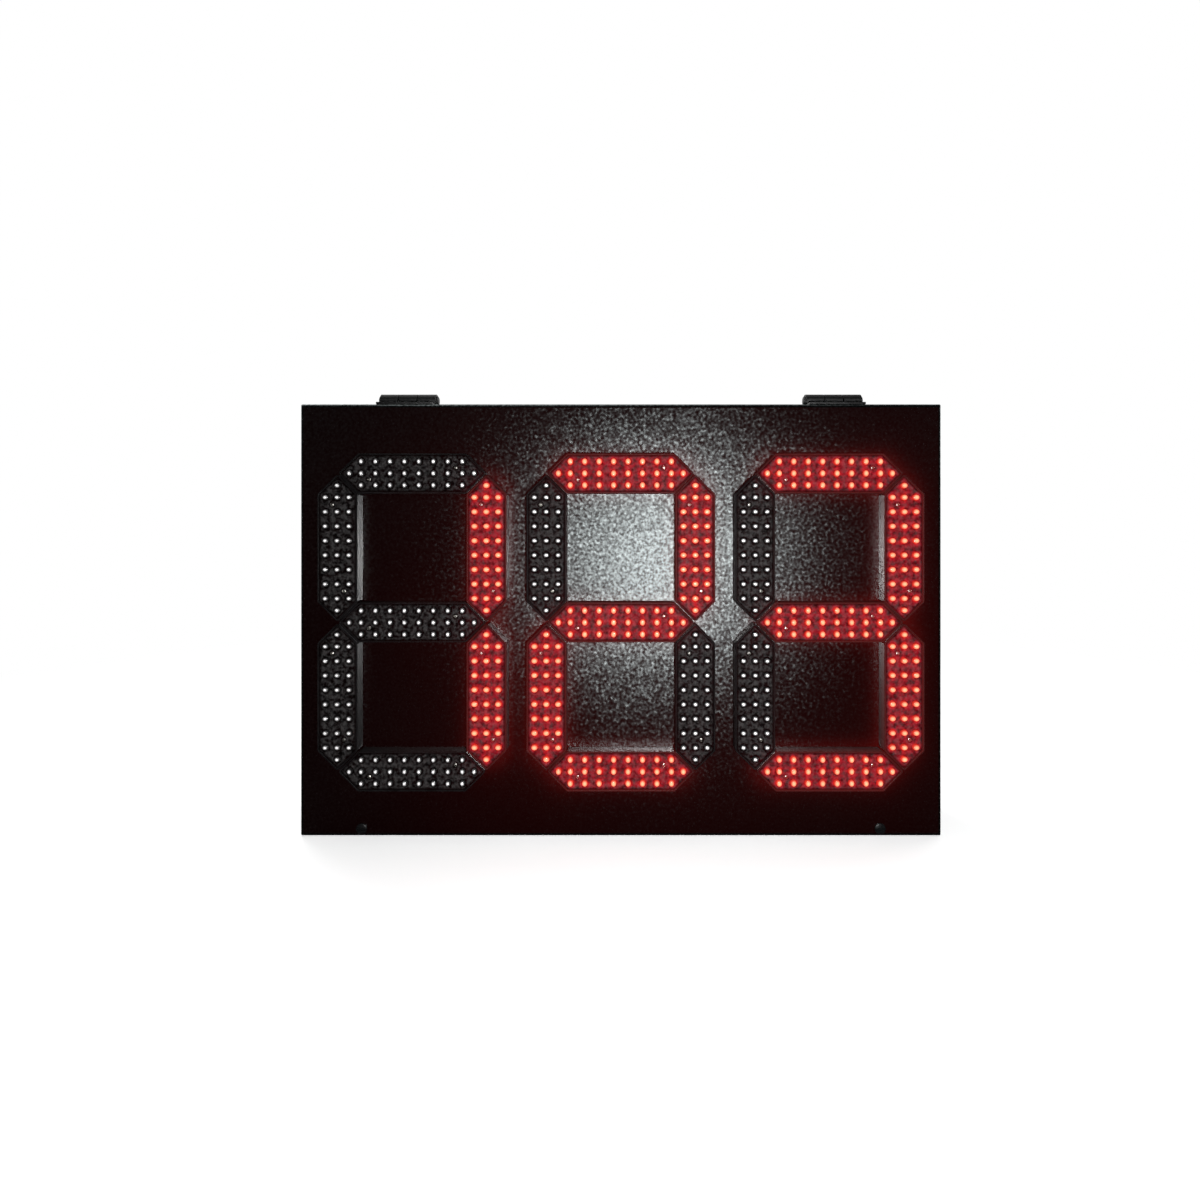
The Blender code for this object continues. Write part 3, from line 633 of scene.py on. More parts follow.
def potting_finish():
    """Mottled grey-black potting, near black at its edge, with painted shade in and round the wells, and a
    painted red glow round lamps that are on.
    """
    f = Finish("potting")
    black = (0.0004, 0.0004, 0.0004)
    mottle = f.noise(330, 2, 0.6)
    glow = f.attribute("glow")
    lit = f.math("MINIMUM", f.math("MULTIPLY", glow, 1.3), 0.7)
    # Painted shade: near black in and just round the wells; also darkened at the edge and where the painted
    # red glow is
    dark = f.math("MAXIMUM", f.attribute("well"), f.math("MULTIPLY", f.attribute("border"), 0.85))
    dark = f.math("MAXIMUM", dark, lit)
    f.colour(f.mix(dark, f.ramp(mottle, [(0.38, black), (0.64, (0.042, 0.041, 0.041))]), black))
    f.shade("Specular IOR Level", f.math("MULTIPLY", f.math("SUBTRACT", 1.0, dark), 0.04))
    f.roughness(f.noise(300, 2), 0.38, 0.58)
    f.bump((mottle, 0.8, 0.00022), (f.noise(2200, 2), 0.4, 0.00003))
    patches = f.ramp(f.noise(260, 2, 0.55), [(0.36, 0.36), (0.64, 1.42)])
    # Painted red light round the lit lamps, broken into patches
    red = f.ramp(glow, [(0.22, (1.0, 0.030, 0.060)), (0.55, (1.0, 0.015, 0.010))])
    f.glow(red, f.math("MULTIPLY", glow, patches))
    return f.material


def dark_lens_finish():
    """Clear lamp that is off: a pale die cup in the middle under gloss, dark towards the edge, the cup
    glowing as a painted highlight.
    """
    f = Finish("lamp_off", coat=0.6)
    core = f.ramp(f.attribute("across"), [
        (0.0, (0.95, 0.94, 0.94)), (0.30, (0.90, 0.89, 0.89)),
        (0.52, (0.16, 0.155, 0.155)), (0.80, (0.006, 0.006, 0.006)),
    ])
    f.colour(f.mix(f.math("MULTIPLY", f.noise(900, 2), 0.15), core, (0.12, 0.11, 0.11)))
    # Painted highlight: the pale cup glows, standing in for the front lamp's light sent back by the cup
    f.glow(core, 0.48)
    f.roughness(f.noise(700, 1), 0.12, 0.24)
    return f.material


def lit_lens_finish():
    """Lamp that is on: a peach core that falls off to red at the edge."""
    f = Finish("lamp_on", specular=0.2, coat=0.1)
    f.colour((0.25, 0.01, 0.008))
    core = f.ramp(f.attribute("across"), [
        (0.0, (1.0, 0.62, 0.34)), (0.40, (1.0, 0.50, 0.27)), (0.68, (0.86, 0.25, 0.135)),
        (0.88, (0.55, 0.07, 0.04)), (1.0, (0.42, 0.020, 0.012)),
    ])
    flicker = f.ramp(f.noise(70, 1), [(0.3, 0.86), (0.7, 1.0)])
    f.glow(f.mix(1.0, core, flicker, "MULTIPLY"), 1.25)
    f.roughness(f.noise(700, 1), 0.15, 0.25)
    return f.material


def metal_finish(name, colour, roughness, brushed=None, near_lamps=False):
    """Bare or plated metal with small stains and fine marks, painted shade in openings, and a painted red
    glow beside lit lamps.
    """
    f = Finish(name, metallic=1.0)
    stains = f.ramp(f.noise(180, 4, 0.6), [(0.3, tuple(c * 0.62 for c in colour)), (0.65, colour)])
    # Painted shade: near black where the mesh marks a slot
    f.colour(f.mix(f.attribute("opening"), stains, (0.004, 0.004, 0.004)))
    marks = f.noise(900, 2, 0.5, brushed)
    f.roughness(marks, roughness * 0.75, roughness * 1.35)
    f.bump((marks, 0.3, 0.00002))
    if near_lamps:
        # Painted red light from lit lamps nearby
        f.glow((1.0, 0.04, 0.03), f.attribute("glow"))
    return f.material


def plain_finish(name, colour, roughness, grain=900, spread=0.35, specular=0.5, depth=0.00002):
    """Moulded or coated surface: colour varied by a soft noise, with a fine grain in the relief."""
    f = Finish(name, specular=specular)
    f.colour(f.ramp(f.noise(140, 3), [(0.3, tuple(c * (1 - spread) for c in colour)), (0.7, colour)]))
    marks = f.noise(grain, 2)
    f.roughness(marks, roughness * 0.85, min(1.0, roughness * 1.2))
    f.bump((marks, 0.4, depth))
    return f.material


def board_finish():
    """Green board mask: areas of copper under it, thin gaps between them and small tinned dots."""
    f = Finish("board_green")
    areas = f.cells(110, 0.8)
    mask = f.ramp(areas, [(0.30, (0.010, 0.085, 0.034)), (0.36, (0.018, 0.140, 0.058))])
    dots = f.ramp(f.cells(240, 0.7), [(0.10, 1.0), (0.13, 0.0)])
    f.colour(f.mix(dots, f.mix(f.noise(900, 2), mask, (0.008, 0.070, 0.028)), (0.42, 0.41, 0.38)))
    f.roughness(f.noise(300, 2), 0.28, 0.44)
    f.bump((areas, 0.25, 0.00003))
    return f.material


COAT = coat_finish("textured_black_coat", 0.102, 0.366, 0.28, 2.52)
CASE_COAT = coat_finish("case_black_coat", 0.126, 0.230, 0.10, 2.0)
TRAY = tray_finish()
POTTING = potting_finish()
LENS_OFF = dark_lens_finish()
LENS_ON = lit_lens_finish()
STEEL = metal_finish("fastener_steel", (0.45, 0.43, 0.40), 0.34, near_lamps=True)
TIN = metal_finish("tinned_metal", (0.34, 0.335, 0.32), 0.55)
ZINC = metal_finish("zinc_sheet", (0.45, 0.455, 0.46), 0.58, (1, 1, 12))
HINGE = hinge_finish()
FASTENER = plain_finish("fastener_black", (0.008, 0.008, 0.0085), 0.36, 700, specular=0.3)
RUBBER = plain_finish("seal_rubber", (0.018, 0.018, 0.019), 0.8, 1500, depth=0.00005)
NYLON = plain_finish("gland_nylon", (0.030, 0.030, 0.031), 0.42, 1200)
BOARD = board_finish()
CHIP = plain_finish("chip_black", (0.020, 0.020, 0.021), 0.48, 1600)
RELAY = plain_finish("relay_blue", (0.020, 0.060, 0.200), 0.36)
CLAMP = plain_finish("terminal_green", (0.020, 0.210, 0.060), 0.40)
IVORY = plain_finish("connector_ivory", (0.700, 0.670, 0.580), 0.42, spread=0.12)


# Lamp modules


def module_rows():
    """Each module's label, place of its middle, whether it stands upright and whether it is lit."""
    for digit in range(3):
        for name in SEGMENT_NAMES:
            label = f"digit_{digit + 1}_{name}"
            low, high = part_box(label + "_housing")
            middle = (low + high) / 2
            yield label, (middle.x, middle.z), high.z - low.z > high.x - low.x, name in LIT_SEGMENTS[digit]


def lamp_centres():
    """Lamp middles of a level module: three rows of columns and one lamp at each end."""
    x, z = np.meshgrid(spread(LAMP_COLUMNS, LAMP_PITCH), [-LAMP_ROW, 0, LAMP_ROW], indexing="ij")
    return np.vstack([np.stack([x.ravel(), z.ravel()], axis=1), [(-LAMP_END, 0.0), (LAMP_END, 0.0)]])


LAMPS = lamp_centres()
SCREWS = np.array([(-SCREW_X, -SCREW_Z), (SCREW_X, SCREW_Z)])


def painted_lamp_spill(points):
    """Painted red light on a lit module's face, standing in for the lamps' spill: the sum of exp(-d / reach)
    over its lamps, times a strength.
    """
    d = np.hypot(points[:, 0, None] - LAMPS[:, 0], points[:, 2, None] - LAMPS[:, 1])
    return GLOW_STRENGTH * np.exp(-d / GLOW_REACH).sum(-1)


def painted_glow_near_lit(points):
    """Painted red glow on the front near lit modules, standing in for their spread light: over each lit
    module's hexagon at distance d, the sum of s exp(-d / reach).
    """
    x, z = points[:, 0], points[:, 2]
    total = np.zeros(x.shape)
    for _, (a, b), upright, lit in module_rows():
        if not lit:
            continue
        along, across = (z - b, x - a) if upright else (x - a, z - b)
        past = np.maximum(np.abs(along) - (MODULE_TIP - MODULE_HALF), 0)
        d = np.maximum(np.hypot(past, across) - MODULE_HALF, 0)
        total += sum(strength * np.exp(-d / reach) for strength, reach in PAINTED_GLOW_TERMS)
    return total + PAINTED_GLOW_BASE


def with_painted_glow(shape, share):
    """A shape in its place, its painted glow raised by a share of the painted red light where it is in front
    of the panel.
    """
    points, faces, values = shape
    veil = share * painted_glow_near_lit(points) * (points[:, 1] < DOOR_FRONT)
    return points, faces, {**values, "glow": values["glow"] + veil}


def face_shape(lit):
    """The potted face over a grid (u, v): x = u (tip - half |v|), z = v half, sunk where there is a well.

    Points near a well's edge are drawn onto it. The sides run back and close on the middle.
    """
    u = np.linspace(-1, 1, FACE_COLUMNS)[:, None]
    v = np.linspace(-1, 1, FACE_ROWS)[None, :]
    x = u * (BLOCK_TIP - BLOCK_HALF * np.abs(v))
    z = np.broadcast_to(v * BLOCK_HALF, x.shape)
    centres = np.vstack([LAMPS, SCREWS])
    radii = np.repeat([WELL_RADIUS, SCREW_WELL_RADIUS], [len(LAMPS), len(SCREWS)])
    reach = np.hypot(x[..., None] - centres[:, 0], z[..., None] - centres[:, 1])
    nearest = (reach - radii).argmin(-1)
    distance = np.take_along_axis(reach, nearest[..., None], -1)[..., 0]
    edge = distance - radii[nearest]
    close = np.abs(edge) < BLOCK_TIP / FACE_COLUMNS * 1.05
    scale = np.where(close, radii[nearest] / np.maximum(distance, 1e-9), 1.0)
    centre_x, centre_z = centres[nearest, 0], centres[nearest, 1]
    x, z = centre_x + (x - centre_x) * scale, centre_z + (z - centre_z) * scale
    edge = np.where(close, 0.0, edge)
    y = FACE_Y + WELL_DEPTH * ramp(-edge, 0.0, WELL_WALL)
    points, faces = relief(np.stack([x, y, z], axis=-1), FACE_Y + BLOCK_DEPTH)
    side = (1 - np.abs(u)) * (BLOCK_TIP - BLOCK_HALF * np.abs(v)) / math.sqrt(2)
    border = 1 - ramp(np.minimum(BLOCK_HALF * (1 - np.abs(v)), side), 0.0, BORDER)
    rest = np.zeros(len(points) - x.size)
    # Painted shade in and just round each well; the border value darkens the face towards its edge
    values = {"well": np.concatenate([ramp(-edge, -WELL_SHADE, WELL_WALL).ravel(), rest]),
              "border": np.concatenate([border.ravel(), rest + 1])}
    # Painted red light from the lit lamps, weaker towards the edge
    values["glow"] = painted_lamp_spill(points) * (1 - 0.6 * values["border"]) * lit
    return points, faces, values


def tray_shape(lit):
    """The tray: wall, rim and back as a profile carried round the long hexagon, drawn in to an outlet."""
    back = -SEAT_GAP
    floor = back - TRAY_FLOOR
    profile = softened([
        (TRAY_WALL + 0.004, floor), (TRAY_WALL, floor), (TRAY_WALL, RIM_Y), (0, RIM_Y), (0, RIM_Y + 0.0012),
        (0, back), (0.006, back),
    ], 0.00040, 3)
    body = carried(hexagon(MODULE_TIP, MODULE_HALF), TRAY_CORNER, profile)
    outer, inner, end = OUTLET_RADIUS, OUTLET_RADIUS - OUTLET_WALL, SHEET + OUTLET_STANDOUT
    spout = softened([(outer, back), (outer, end), (inner, end), (inner, end - 0.002)], 0.0003)
    points, faces = skin(np.concatenate([body, turned(spout, body.shape[1])]))
    # Painted red light from the lit lamps, on the rim and the front of the walls
    glow = painted_lamp_spill(points) * ramp(-points[:, 1], 0.006, -RIM_Y) * 0.75
    slack = 2e-5
    outside = np.abs(points[:, 2]) > MODULE_HALF - slack
    slant = MODULE_TIP - np.abs(points[:, 0]) - np.abs(points[:, 2]) < slack * math.sqrt(2)
    wall = (outside | slant) * ramp(points[:, 1], RIM_Y + 0.0002, RIM_Y + 0.0007)
    return points, faces, {"glow": glow * lit, "wall": wall}


def stud_shapes():
    """Threaded studs behind the tray with a nut on each: round and six-sided profiles carried round Y."""
    front = SHEET + SEAT_GAP
    rear = front + 0.0024
    thread = [(0.00135 + 0.00015 * (i % 2), y) for i, y in enumerate(np.linspace(0.0, rear + 0.0008, 17))]
    stud = skin(turned(thread, 8))
    six = [(0.0029, front), (0.0031, front + 0.0003), (0.0031, rear - 0.0003)]
    nut = turned_skin([(1.0, [(0.0024, front)]), (six_sided(24), six),
                       (1.0, [(0.0027, rear), (0.0016, rear)])], 24)
    return [moved(shape, (x, 0, z)) for x, z in SCREWS for shape in (stud, nut)]


def lens_shape():
    """An oval lamp: rings of a dome carried round an oval, from the well's floor to the tip."""
    tall = FACE_Y - LENS_TIP_Y
    share = np.array([1.0, 0.97, 0.74, 0.40])
    rise = np.array([-WELL_DEPTH * 0.8, tall * 0.45, tall * 0.84, tall * 0.97])
    rings = turned(np.stack([share, FACE_Y - rise], axis=1), LENS_SIDES)
    points, faces = skin(rings * (LENS_SHORT, 1, LENS_LONG))
    points[-1, 1] = LENS_TIP_Y
    across = np.concatenate([np.repeat(share, LENS_SIDES), [1.0, 0.0]])
    return points, faces, {"across": across}


def screw_shape(radius, rise, slot, cross=True, sunk=0.0, sides=24):
    """A screw head over a grid of share s and angle: a dome, rise sqrt(1 - (0.86 s)^2), less its slots.

    Points near the slot's side are drawn onto it. The head's front faces -Y and its seat is at y = 0.
    """
    share = np.array([1.0, 1.0, 0.94, 0.86, 0.76, 0.66, 0.54, 0.42, 0.28, 0.14])[:, None]
    x = radius * share * np.cos(angles(sides))
    z = radius * share * np.sin(angles(sides))
    height = np.broadcast_to(rise * np.sqrt(1 - (share * 0.86) ** 2), x.shape).copy()
    height[0] = -sunk
    within = share < (0.72 if cross else 0.90)
    near = slot * 0.45
    z = np.where(within & (np.abs(np.abs(z) - slot) < near), np.sign(z) * slot, z)
    cut = np.abs(z) <= slot
    if cross:
        x = np.where(within & (np.abs(np.abs(x) - slot) < near), np.sign(x) * slot, x)
        cut = cut | (np.abs(x) <= slot)
    height = height - rise * 0.55 * (cut & within)
    return skin(np.stack([x, -height, z], axis=-1))


def build_modules():
    """Four pieces for each module: its tray, potted face, lamps, and screws with studs and nuts."""
    lens, studs = lens_shape(), stud_shapes()
    seat = FACE_Y + WELL_DEPTH * 0.75
    screw = screw_shape(SCREW_RADIUS, 0.0009, 0.00024, sunk=0.0006)
    heads = [moved(moved(screw, (0, seat, 0)), (a, 0, b)) for a, b in SCREWS]
    # Painted red light from the lit lamps on the screw heads
    heads = {lit: [(points, faces, {"glow": painted_lamp_spill(points) * lit}) for points, faces in heads]
             for lit in (False, True)}
    shared = {lit: (tray_shape(lit), face_shape(lit)) for lit in (False, True)}
    for label, (x, z), upright, lit in module_rows():
        place = (x, DOOR_FRONT, z)
        tray, face = (with_painted_glow(shape, share) for shape, share in zip(all_at(shared[lit], place, upright), PAINTED_GLOW_SHARES))
        lenses = all_at([moved(lens, (a, 0, b)) for a, b in LAMPS], place, upright)
        screws = all_at([*heads[lit], *studs], place, upright)
        slot, finish = ("lamps_lit", LENS_ON) if lit else ("lamps_unlit", LENS_OFF)
        lamps = [label + "_lamps"]
        make_piece(label + "_tray", [tray], TRAY, "door_body", [label + "_housing"])
        make_piece(label + "_face", [face], POTTING, "door_body", lamps)
        make_piece(label + "_lenses", lenses, finish, "door_body", lamps, 80)
        make_piece(label + "_screws", screws, STEEL, "door_body")


# Door and cabinet


def pan_shape():
    """A shallow pan: a flat grid, and rings round its edge that follow a profile of (inset, depth) pairs.

    A ring is the grid's edge scaled to the inset rectangle, with each corner drawn onto a quarter circle.
    The front fold is R (1 - sin t, 1 - cos t), and inside it the same arc with R less the sheet.
    """
    half = np.array([DOOR_HIGH.x, PANEL_HEIGHT / 2])
    near = np.array([0, 0.12, 0.35, 0.65]) * PAN_CORNER
    x, z = (np.concatenate([near - h, np.linspace(PAN_CORNER - h, h - PAN_CORNER, n), h - near[::-1]])
            for h, n in zip(half, PAN_GRID))
    flat = np.stack(np.meshgrid(x, z, indexing="ij"), axis=-1)
    loop = edge_loop(*flat.shape[:2])
    flat = flat.reshape(-1, 2)

    def drawn(places, inset):
        """Places scaled to the inset rectangle, those past a corner's centre kept within its radius."""
        to = half - inset
        radius = max(PAN_CORNER - inset, 0.0002)
        places = places * to / half
        core = np.clip(places, radius - to, to - radius)
        away = places - core
        reach = np.linalg.norm(away, axis=-1, keepdims=True)
        return core + away * np.minimum(1, radius / np.maximum(reach, 1e-9))

    turn = np.radians(np.linspace(0, 90, 7))
    bend = np.stack([np.sin(turn), np.cos(turn)], axis=1)
    walls = softened([
        (0, FOLD_RADIUS), (0, DOOR_DEPTH), (LIP_WIDTH, DOOR_DEPTH), (LIP_WIDTH, DOOR_DEPTH - SHEET),
        (SHEET, DOOR_DEPTH - SHEET), (SHEET, FOLD_RADIUS),
    ], 0.0006, 3)
    inner_fold = FOLD_RADIUS - (FOLD_RADIUS - SHEET) * bend[-2::-1]
    profile = np.vstack([FOLD_RADIUS * (1 - bend[:-1]), walls, inner_fold])
    front, back = drawn(flat, profile[0, 0]), drawn(flat, profile[-1, 0])
    rings = [drawn(flat[loop], inset) for inset, _ in profile]
    count, rows, start = len(loop), len(profile), len(front)
    rear_start = start + rows * count
    between = start + np.arange(rows * count).reshape(rows, count)[1:-1]
    ids = np.vstack([loop, between, rear_start + loop])
    grid = grid_faces(len(x), len(z))
    faces = np.vstack([grid, *[band(a, b) for a, b in zip(ids, ids[1:])], rear_start + grid[:, ::-1]])
    places = np.vstack([front, *rings, back])
    depths = np.concatenate([np.zeros(start), np.repeat(profile[:, 1], count), np.full(len(back), SHEET)])
    used, faces = np.unique(faces, return_inverse=True)
    points = np.stack([places[:, 0], depths + DOOR_FRONT, places[:, 1] + PANEL_HEIGHT / 2], axis=1)[used]
    faces = faces.reshape(-1, 4)
    return points, outward(points, faces)


def board_pillars():
    """Six-sided pillars behind the panel that carry the lamp board's corners: a hexagon's form round Y."""
    low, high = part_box("driver_board")
    front, rear = SHEET * 0.6, low.y - DOOR_FRONT - SEAT_GAP
    rows = softened([(0.001, front), (0.003, front), (0.003, rear), (0.001, rear)], 0.0003)
    pillar = skin(turned(rows, 12, six_sided(12)))
    return [moved(pillar, place) for place in near_corners(low, high, BOARD_INSET, DOOR_FRONT)]


def build_door():
    """The door's pan with a painted red glow on its front near the lit modules, and the pillars behind it."""
    points, faces = pan_shape()
    haze = painted_glow_near_lit(points) * (points[:, 1] < DOOR_FRONT + 1e-4)
    shapes = [(points, faces, {"haze": haze}), *board_pillars()]
    make_piece("door_pan", shapes, COAT, "door_body", ["door_panel"])


def gasket_shape():
    """A soft seal carried round: over its width s, -1 to 1, T (1 - s^6) (0.9 + 0.1 cos 4 pi s) high."""
    low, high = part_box("door_gasket")
    s = np.linspace(-1, 1, 19)
    rise = (high.y - low.y) * (1 - s**6) * (0.9 + 0.1 * np.cos(4 * np.pi * s))
    top = np.stack([(s + 1) / 2 * SEAL_WIDTH, high.y - rise], axis=1)
    profile = np.vstack([top, (SEAL_WIDTH * 0.6, high.y), (SEAL_WIDTH * 0.3, high.y)])
    corners = rectangle(high.x, (high.z - low.z) / 2, 0, (high.z + low.z) / 2)
    return skin(carried(corners, 0.004, profile, 6), loop=True)


def build_cabinet():
    """The case and its rails as the CAD has them, the seal, and five rivets along each side of a rail."""
    dressed_copy("cabinet_case", "cabinet", CASE_COAT, 0.0009)
    make_piece("gasket", [gasket_shape()], RUBBER, "cabinet_body", ["door_gasket"])
    dome = [(0.0026, 0.0), (0.0026, -0.0003), (0.0021, -0.0009), (0.0011, -0.0012)]
    rivet = turned_about(skin(turned(dome, 16)))
    for side in ("left", "right"):
        dressed_copy(side + "_rail", side + "_mounting_rail", CASE_COAT, 0.0006)
        low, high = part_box(side + "_mounting_rail")
        rows = np.linspace(low.z + 0.018, high.z - 0.018, 5)
        columns = (low.x + 0.005, high.x - 0.005)
        rivets = [moved(rivet, (x, low.y + RAIL_SHEET, z)) for x in columns for z in rows]
        make_piece(side + "_rail_rivets", rivets, CASE_COAT, "cabinet_body")


def leaf_shapes(side, knuckles):
    """A hinge leaf about its axis: a plate, and sheet rolled round the pin, p = R (-side sin t, -cos t)."""
    t = np.radians(np.linspace(0, 300, 31))[:, None]
    roll = KNUCKLE_RADIUS - LEAF_THICKNESS / 2
    arc = roll * np.hstack([-side * np.sin(t), -np.cos(t)])
    line = np.vstack([[(side * y, -roll) for y in (0.0068, 0.0045, 0.0020)], arc])
    shapes = [folded_sheet(line, LEAF_THICKNESS / 2, low, high) for low, high in knuckles]
    ends = sorted((side * (KNUCKLE_RADIUS + HINGE_PLAY), side * LEAF_REACH))
    top = KNUCKLE_RADIUS - LEAF_THICKNESS
    plate = rounded_block((-LEAF_HALF, top, ends[0]), (LEAF_HALF, KNUCKLE_RADIUS, ends[1]), 0.0012, 0.0003)
    screw = laid(screw_shape(0.0024, 0.0006, 0.0003, sunk=0.0004))
    return [laid(plate), *shapes, *[moved(screw, (x, side * 0.0103, -top)) for x in LEAF_SCREWS]]


def pin_shape():
    """The hinge pin: a profile of shaft and two domed heads carried round Y and laid along X."""
    half = HINGE_LENGTH / 2 + SEAT_GAP
    head = [(0.0031, 0.0), (0.0034, 0.0003), (0.0034, 0.0006), (0.0028, 0.0010), (0.0014, 0.0012)]
    rows = [(radius, -half - depth) for radius, depth in head[::-1]]
    rows += [(radius, half + depth) for radius, depth in head]
    return along_x(skin(turned(rows, 24)))


def fastener_shapes():
    """A slotted quarter-turn head, its shank and the tongue behind the lip."""
    low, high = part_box("left_door_fastener")
    rear, radius = high.y - DOOR_FRONT, (high.z - low.z) / 2
    head = screw_shape(radius, -SEAT_GAP - (low.y - DOOR_FRONT), 0.0005, cross=False, sides=40)
    shank = skin(turned(softened([(0.0008, 0.0), (0.0024, 0.0), (0.0024, rear), (0.0008, rear)], 0.0003), 20))
    low, high = (-0.0090, rear - 0.0020, -0.0022), (0.0015, rear - SEAT_GAP, 0.0022)
    tongue = rounded_block(low, high, 0.0016, 0.0004)
    return [moved(head, (0, -SEAT_GAP, 0)), shank, tongue]


def gland_shapes():
    """Cable gland: thread, six-sided flange, fluted cap and bore as profiles round Y that form a loop."""
    sides = 48
    fluted = 1 - 0.022 * (1 - np.cos(16 * angles(sides)))
    thread = [(0.0100 - 0.0007 * (i % 2), y) for i, y in enumerate(np.linspace(-0.0103, -0.0002, 15))]
    flange = [(0.0130, 0.0003), (GLAND_CORNER, 0.0008), (GLAND_CORNER, 0.0047)]
    cap = [(0.0113, 0.0060), (0.0111, 0.0120), (0.0104, 0.0142)]
    mouth = [(0.0094, 0.0155), (0.0084, 0.0160), (0.0060, 0.0160), (GLAND_BORE, 0.0155)]
    end = [(GLAND_BORE, -0.0105), (0.0092, -0.0105)]
    neck = [(0.0122, 0.0053), (0.0113, 0.0054)]
    body = turned_skin([(1.0, [*end, *thread, (0.0118, 0.0003)]), (six_sided(sides), flange),
                        (1.0, neck), (fluted, cap), (1.0, mouth)], sides, True)
    seal = [(GLAND_BORE, 0.0150), (0.0050, 0.0146), (0.0048, 0.0120), (0.0050, 0.0080), (GLAND_BORE, 0.0076),
            (0.0058, 0.0110)]
    return [body, skin(turned(seal, sides), loop=True)]


def locknut_shape():
    """The gland's nut: a six-sided ring with soft corners, as profiles round Y that form a loop."""
    low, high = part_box("gland_nut")
    front, rear = low.y - CABINET_REAR, high.y - CABINET_REAR
    six = [(0.0128, rear), (GLAND_CORNER, rear - 0.0006), (GLAND_CORNER, front + 0.0006), (0.0128, front)]
    return turned_skin([(1.0, [(0.0104, rear), (0.0118, rear)]), (six_sided(48), six),
                        (1.0, [(0.0118, front), (0.0104, front)])], 48, True)


def build_hardware():
    """Two hinges, each a leaf on either body and a pin, two quarter turns, and the gland with its nut."""
    third = (HINGE_LENGTH - 2 * HINGE_PLAY) / 3
    inner, end = third / 2, HINGE_LENGTH / 2
    outer = inner + HINGE_PLAY
    leaves = {"door": leaf_shapes(-1, [(-inner, inner)]),
              "cabinet": leaf_shapes(1, [(-end, -outer), (outer, end)])}
    for side in ("left", "right"):
        low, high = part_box(side + "_hinge_pin")
        axis = (low + high) / 2
        for leaf, shapes in leaves.items():
            make_piece(f"{side}_{leaf}_leaf", all_at(shapes, axis), HINGE, leaf + "_body",
                       [f"{side}_hinge_{leaf}_leaf"])
        make_piece(side + "_pin", [moved(pin_shape(), axis)], HINGE, PIN_BODY,
                   [side + "_hinge_pin"])
        low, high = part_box(side + "_door_fastener")
        place = (high.x - (high.z - low.z) / 2, DOOR_FRONT, (low.z + high.z) / 2)
        make_piece(side + "_quarter_turn", all_at(fastener_shapes(), place), FASTENER,
                   side + "_fastener_body", [side + "_door_fastener"])
    low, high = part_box("cable_gland")
    place = ((low.x + high.x) / 2, CABINET_REAR, (low.z + high.z) / 2)
    for name, shapes, node in (("gland", gland_shapes(), "cable_gland"),
                               ("gland_locknut", [locknut_shape()], "gland_nut")):
        make_piece(name, all_at(shapes, place), NYLON, "cabinet_body", [node])


def supply_cover(low, high):
    """The supply's cover: a front over a grid whose lines follow its slots, y = depth inside a slot.

    Near its edge it falls back by r - sqrt(r^2 - (r - d)^2), with d the distance to the edge.
    """
    radius, step, depth = 0.0015, 0.0002, 0.0030
    half_x, half_z = 0.0013, 0.0130
    base = low.z + SUPPLY_STEP_HEIGHT
    near = np.array([0, 0.1, 0.3, 0.6, 1.0]) * radius
    slots_x = low.x + 0.0125 + np.arange(SUPPLY_SLOTS) * (high.x - low.x - 0.025) / (SUPPLY_SLOTS - 1)
    slots_z = base + np.array([0.021, 0.056])
    sides = np.array([-1, 1])[:, None]
    lines_x = (slots_x[:, None, None] + sides * (half_x + np.array([0, step]))).ravel()
    round_z = np.array([half_z - 0.0012, half_z - 0.0004, half_z, half_z + step])
    lines_z = (slots_z[:, None, None] + sides * round_z).ravel()
    x = np.sort(np.concatenate([low.x + near, high.x - near, lines_x]))
    z = np.sort(np.concatenate([base + near, high.z - near, lines_z]))
    x, z = np.meshgrid(x, z, indexing="ij")
    away_x = np.abs(x[..., None] - slots_x).min(-1)
    away_z = np.abs(z[..., None] - slots_z).min(-1)
    inside = (away_x <= half_x + 1e-6) & (away_z <= half_z + 1e-6)
    edge = np.minimum(np.minimum(x - low.x, high.x - x), np.minimum(z - base, high.z - z))
    gap = np.clip(radius - edge, 0, radius)
    y = low.y + radius - np.sqrt(radius**2 - gap**2) + depth * inside
    points, faces = relief(np.stack([x, y, z], axis=-1), high.y)
    # Painted shade: the slots' floors are marked to be drawn near black, for the dark inside of the supply
    opening = np.concatenate([inside.ravel(), np.zeros(len(points) - inside.size)])
    return points, faces, {"opening": opening}


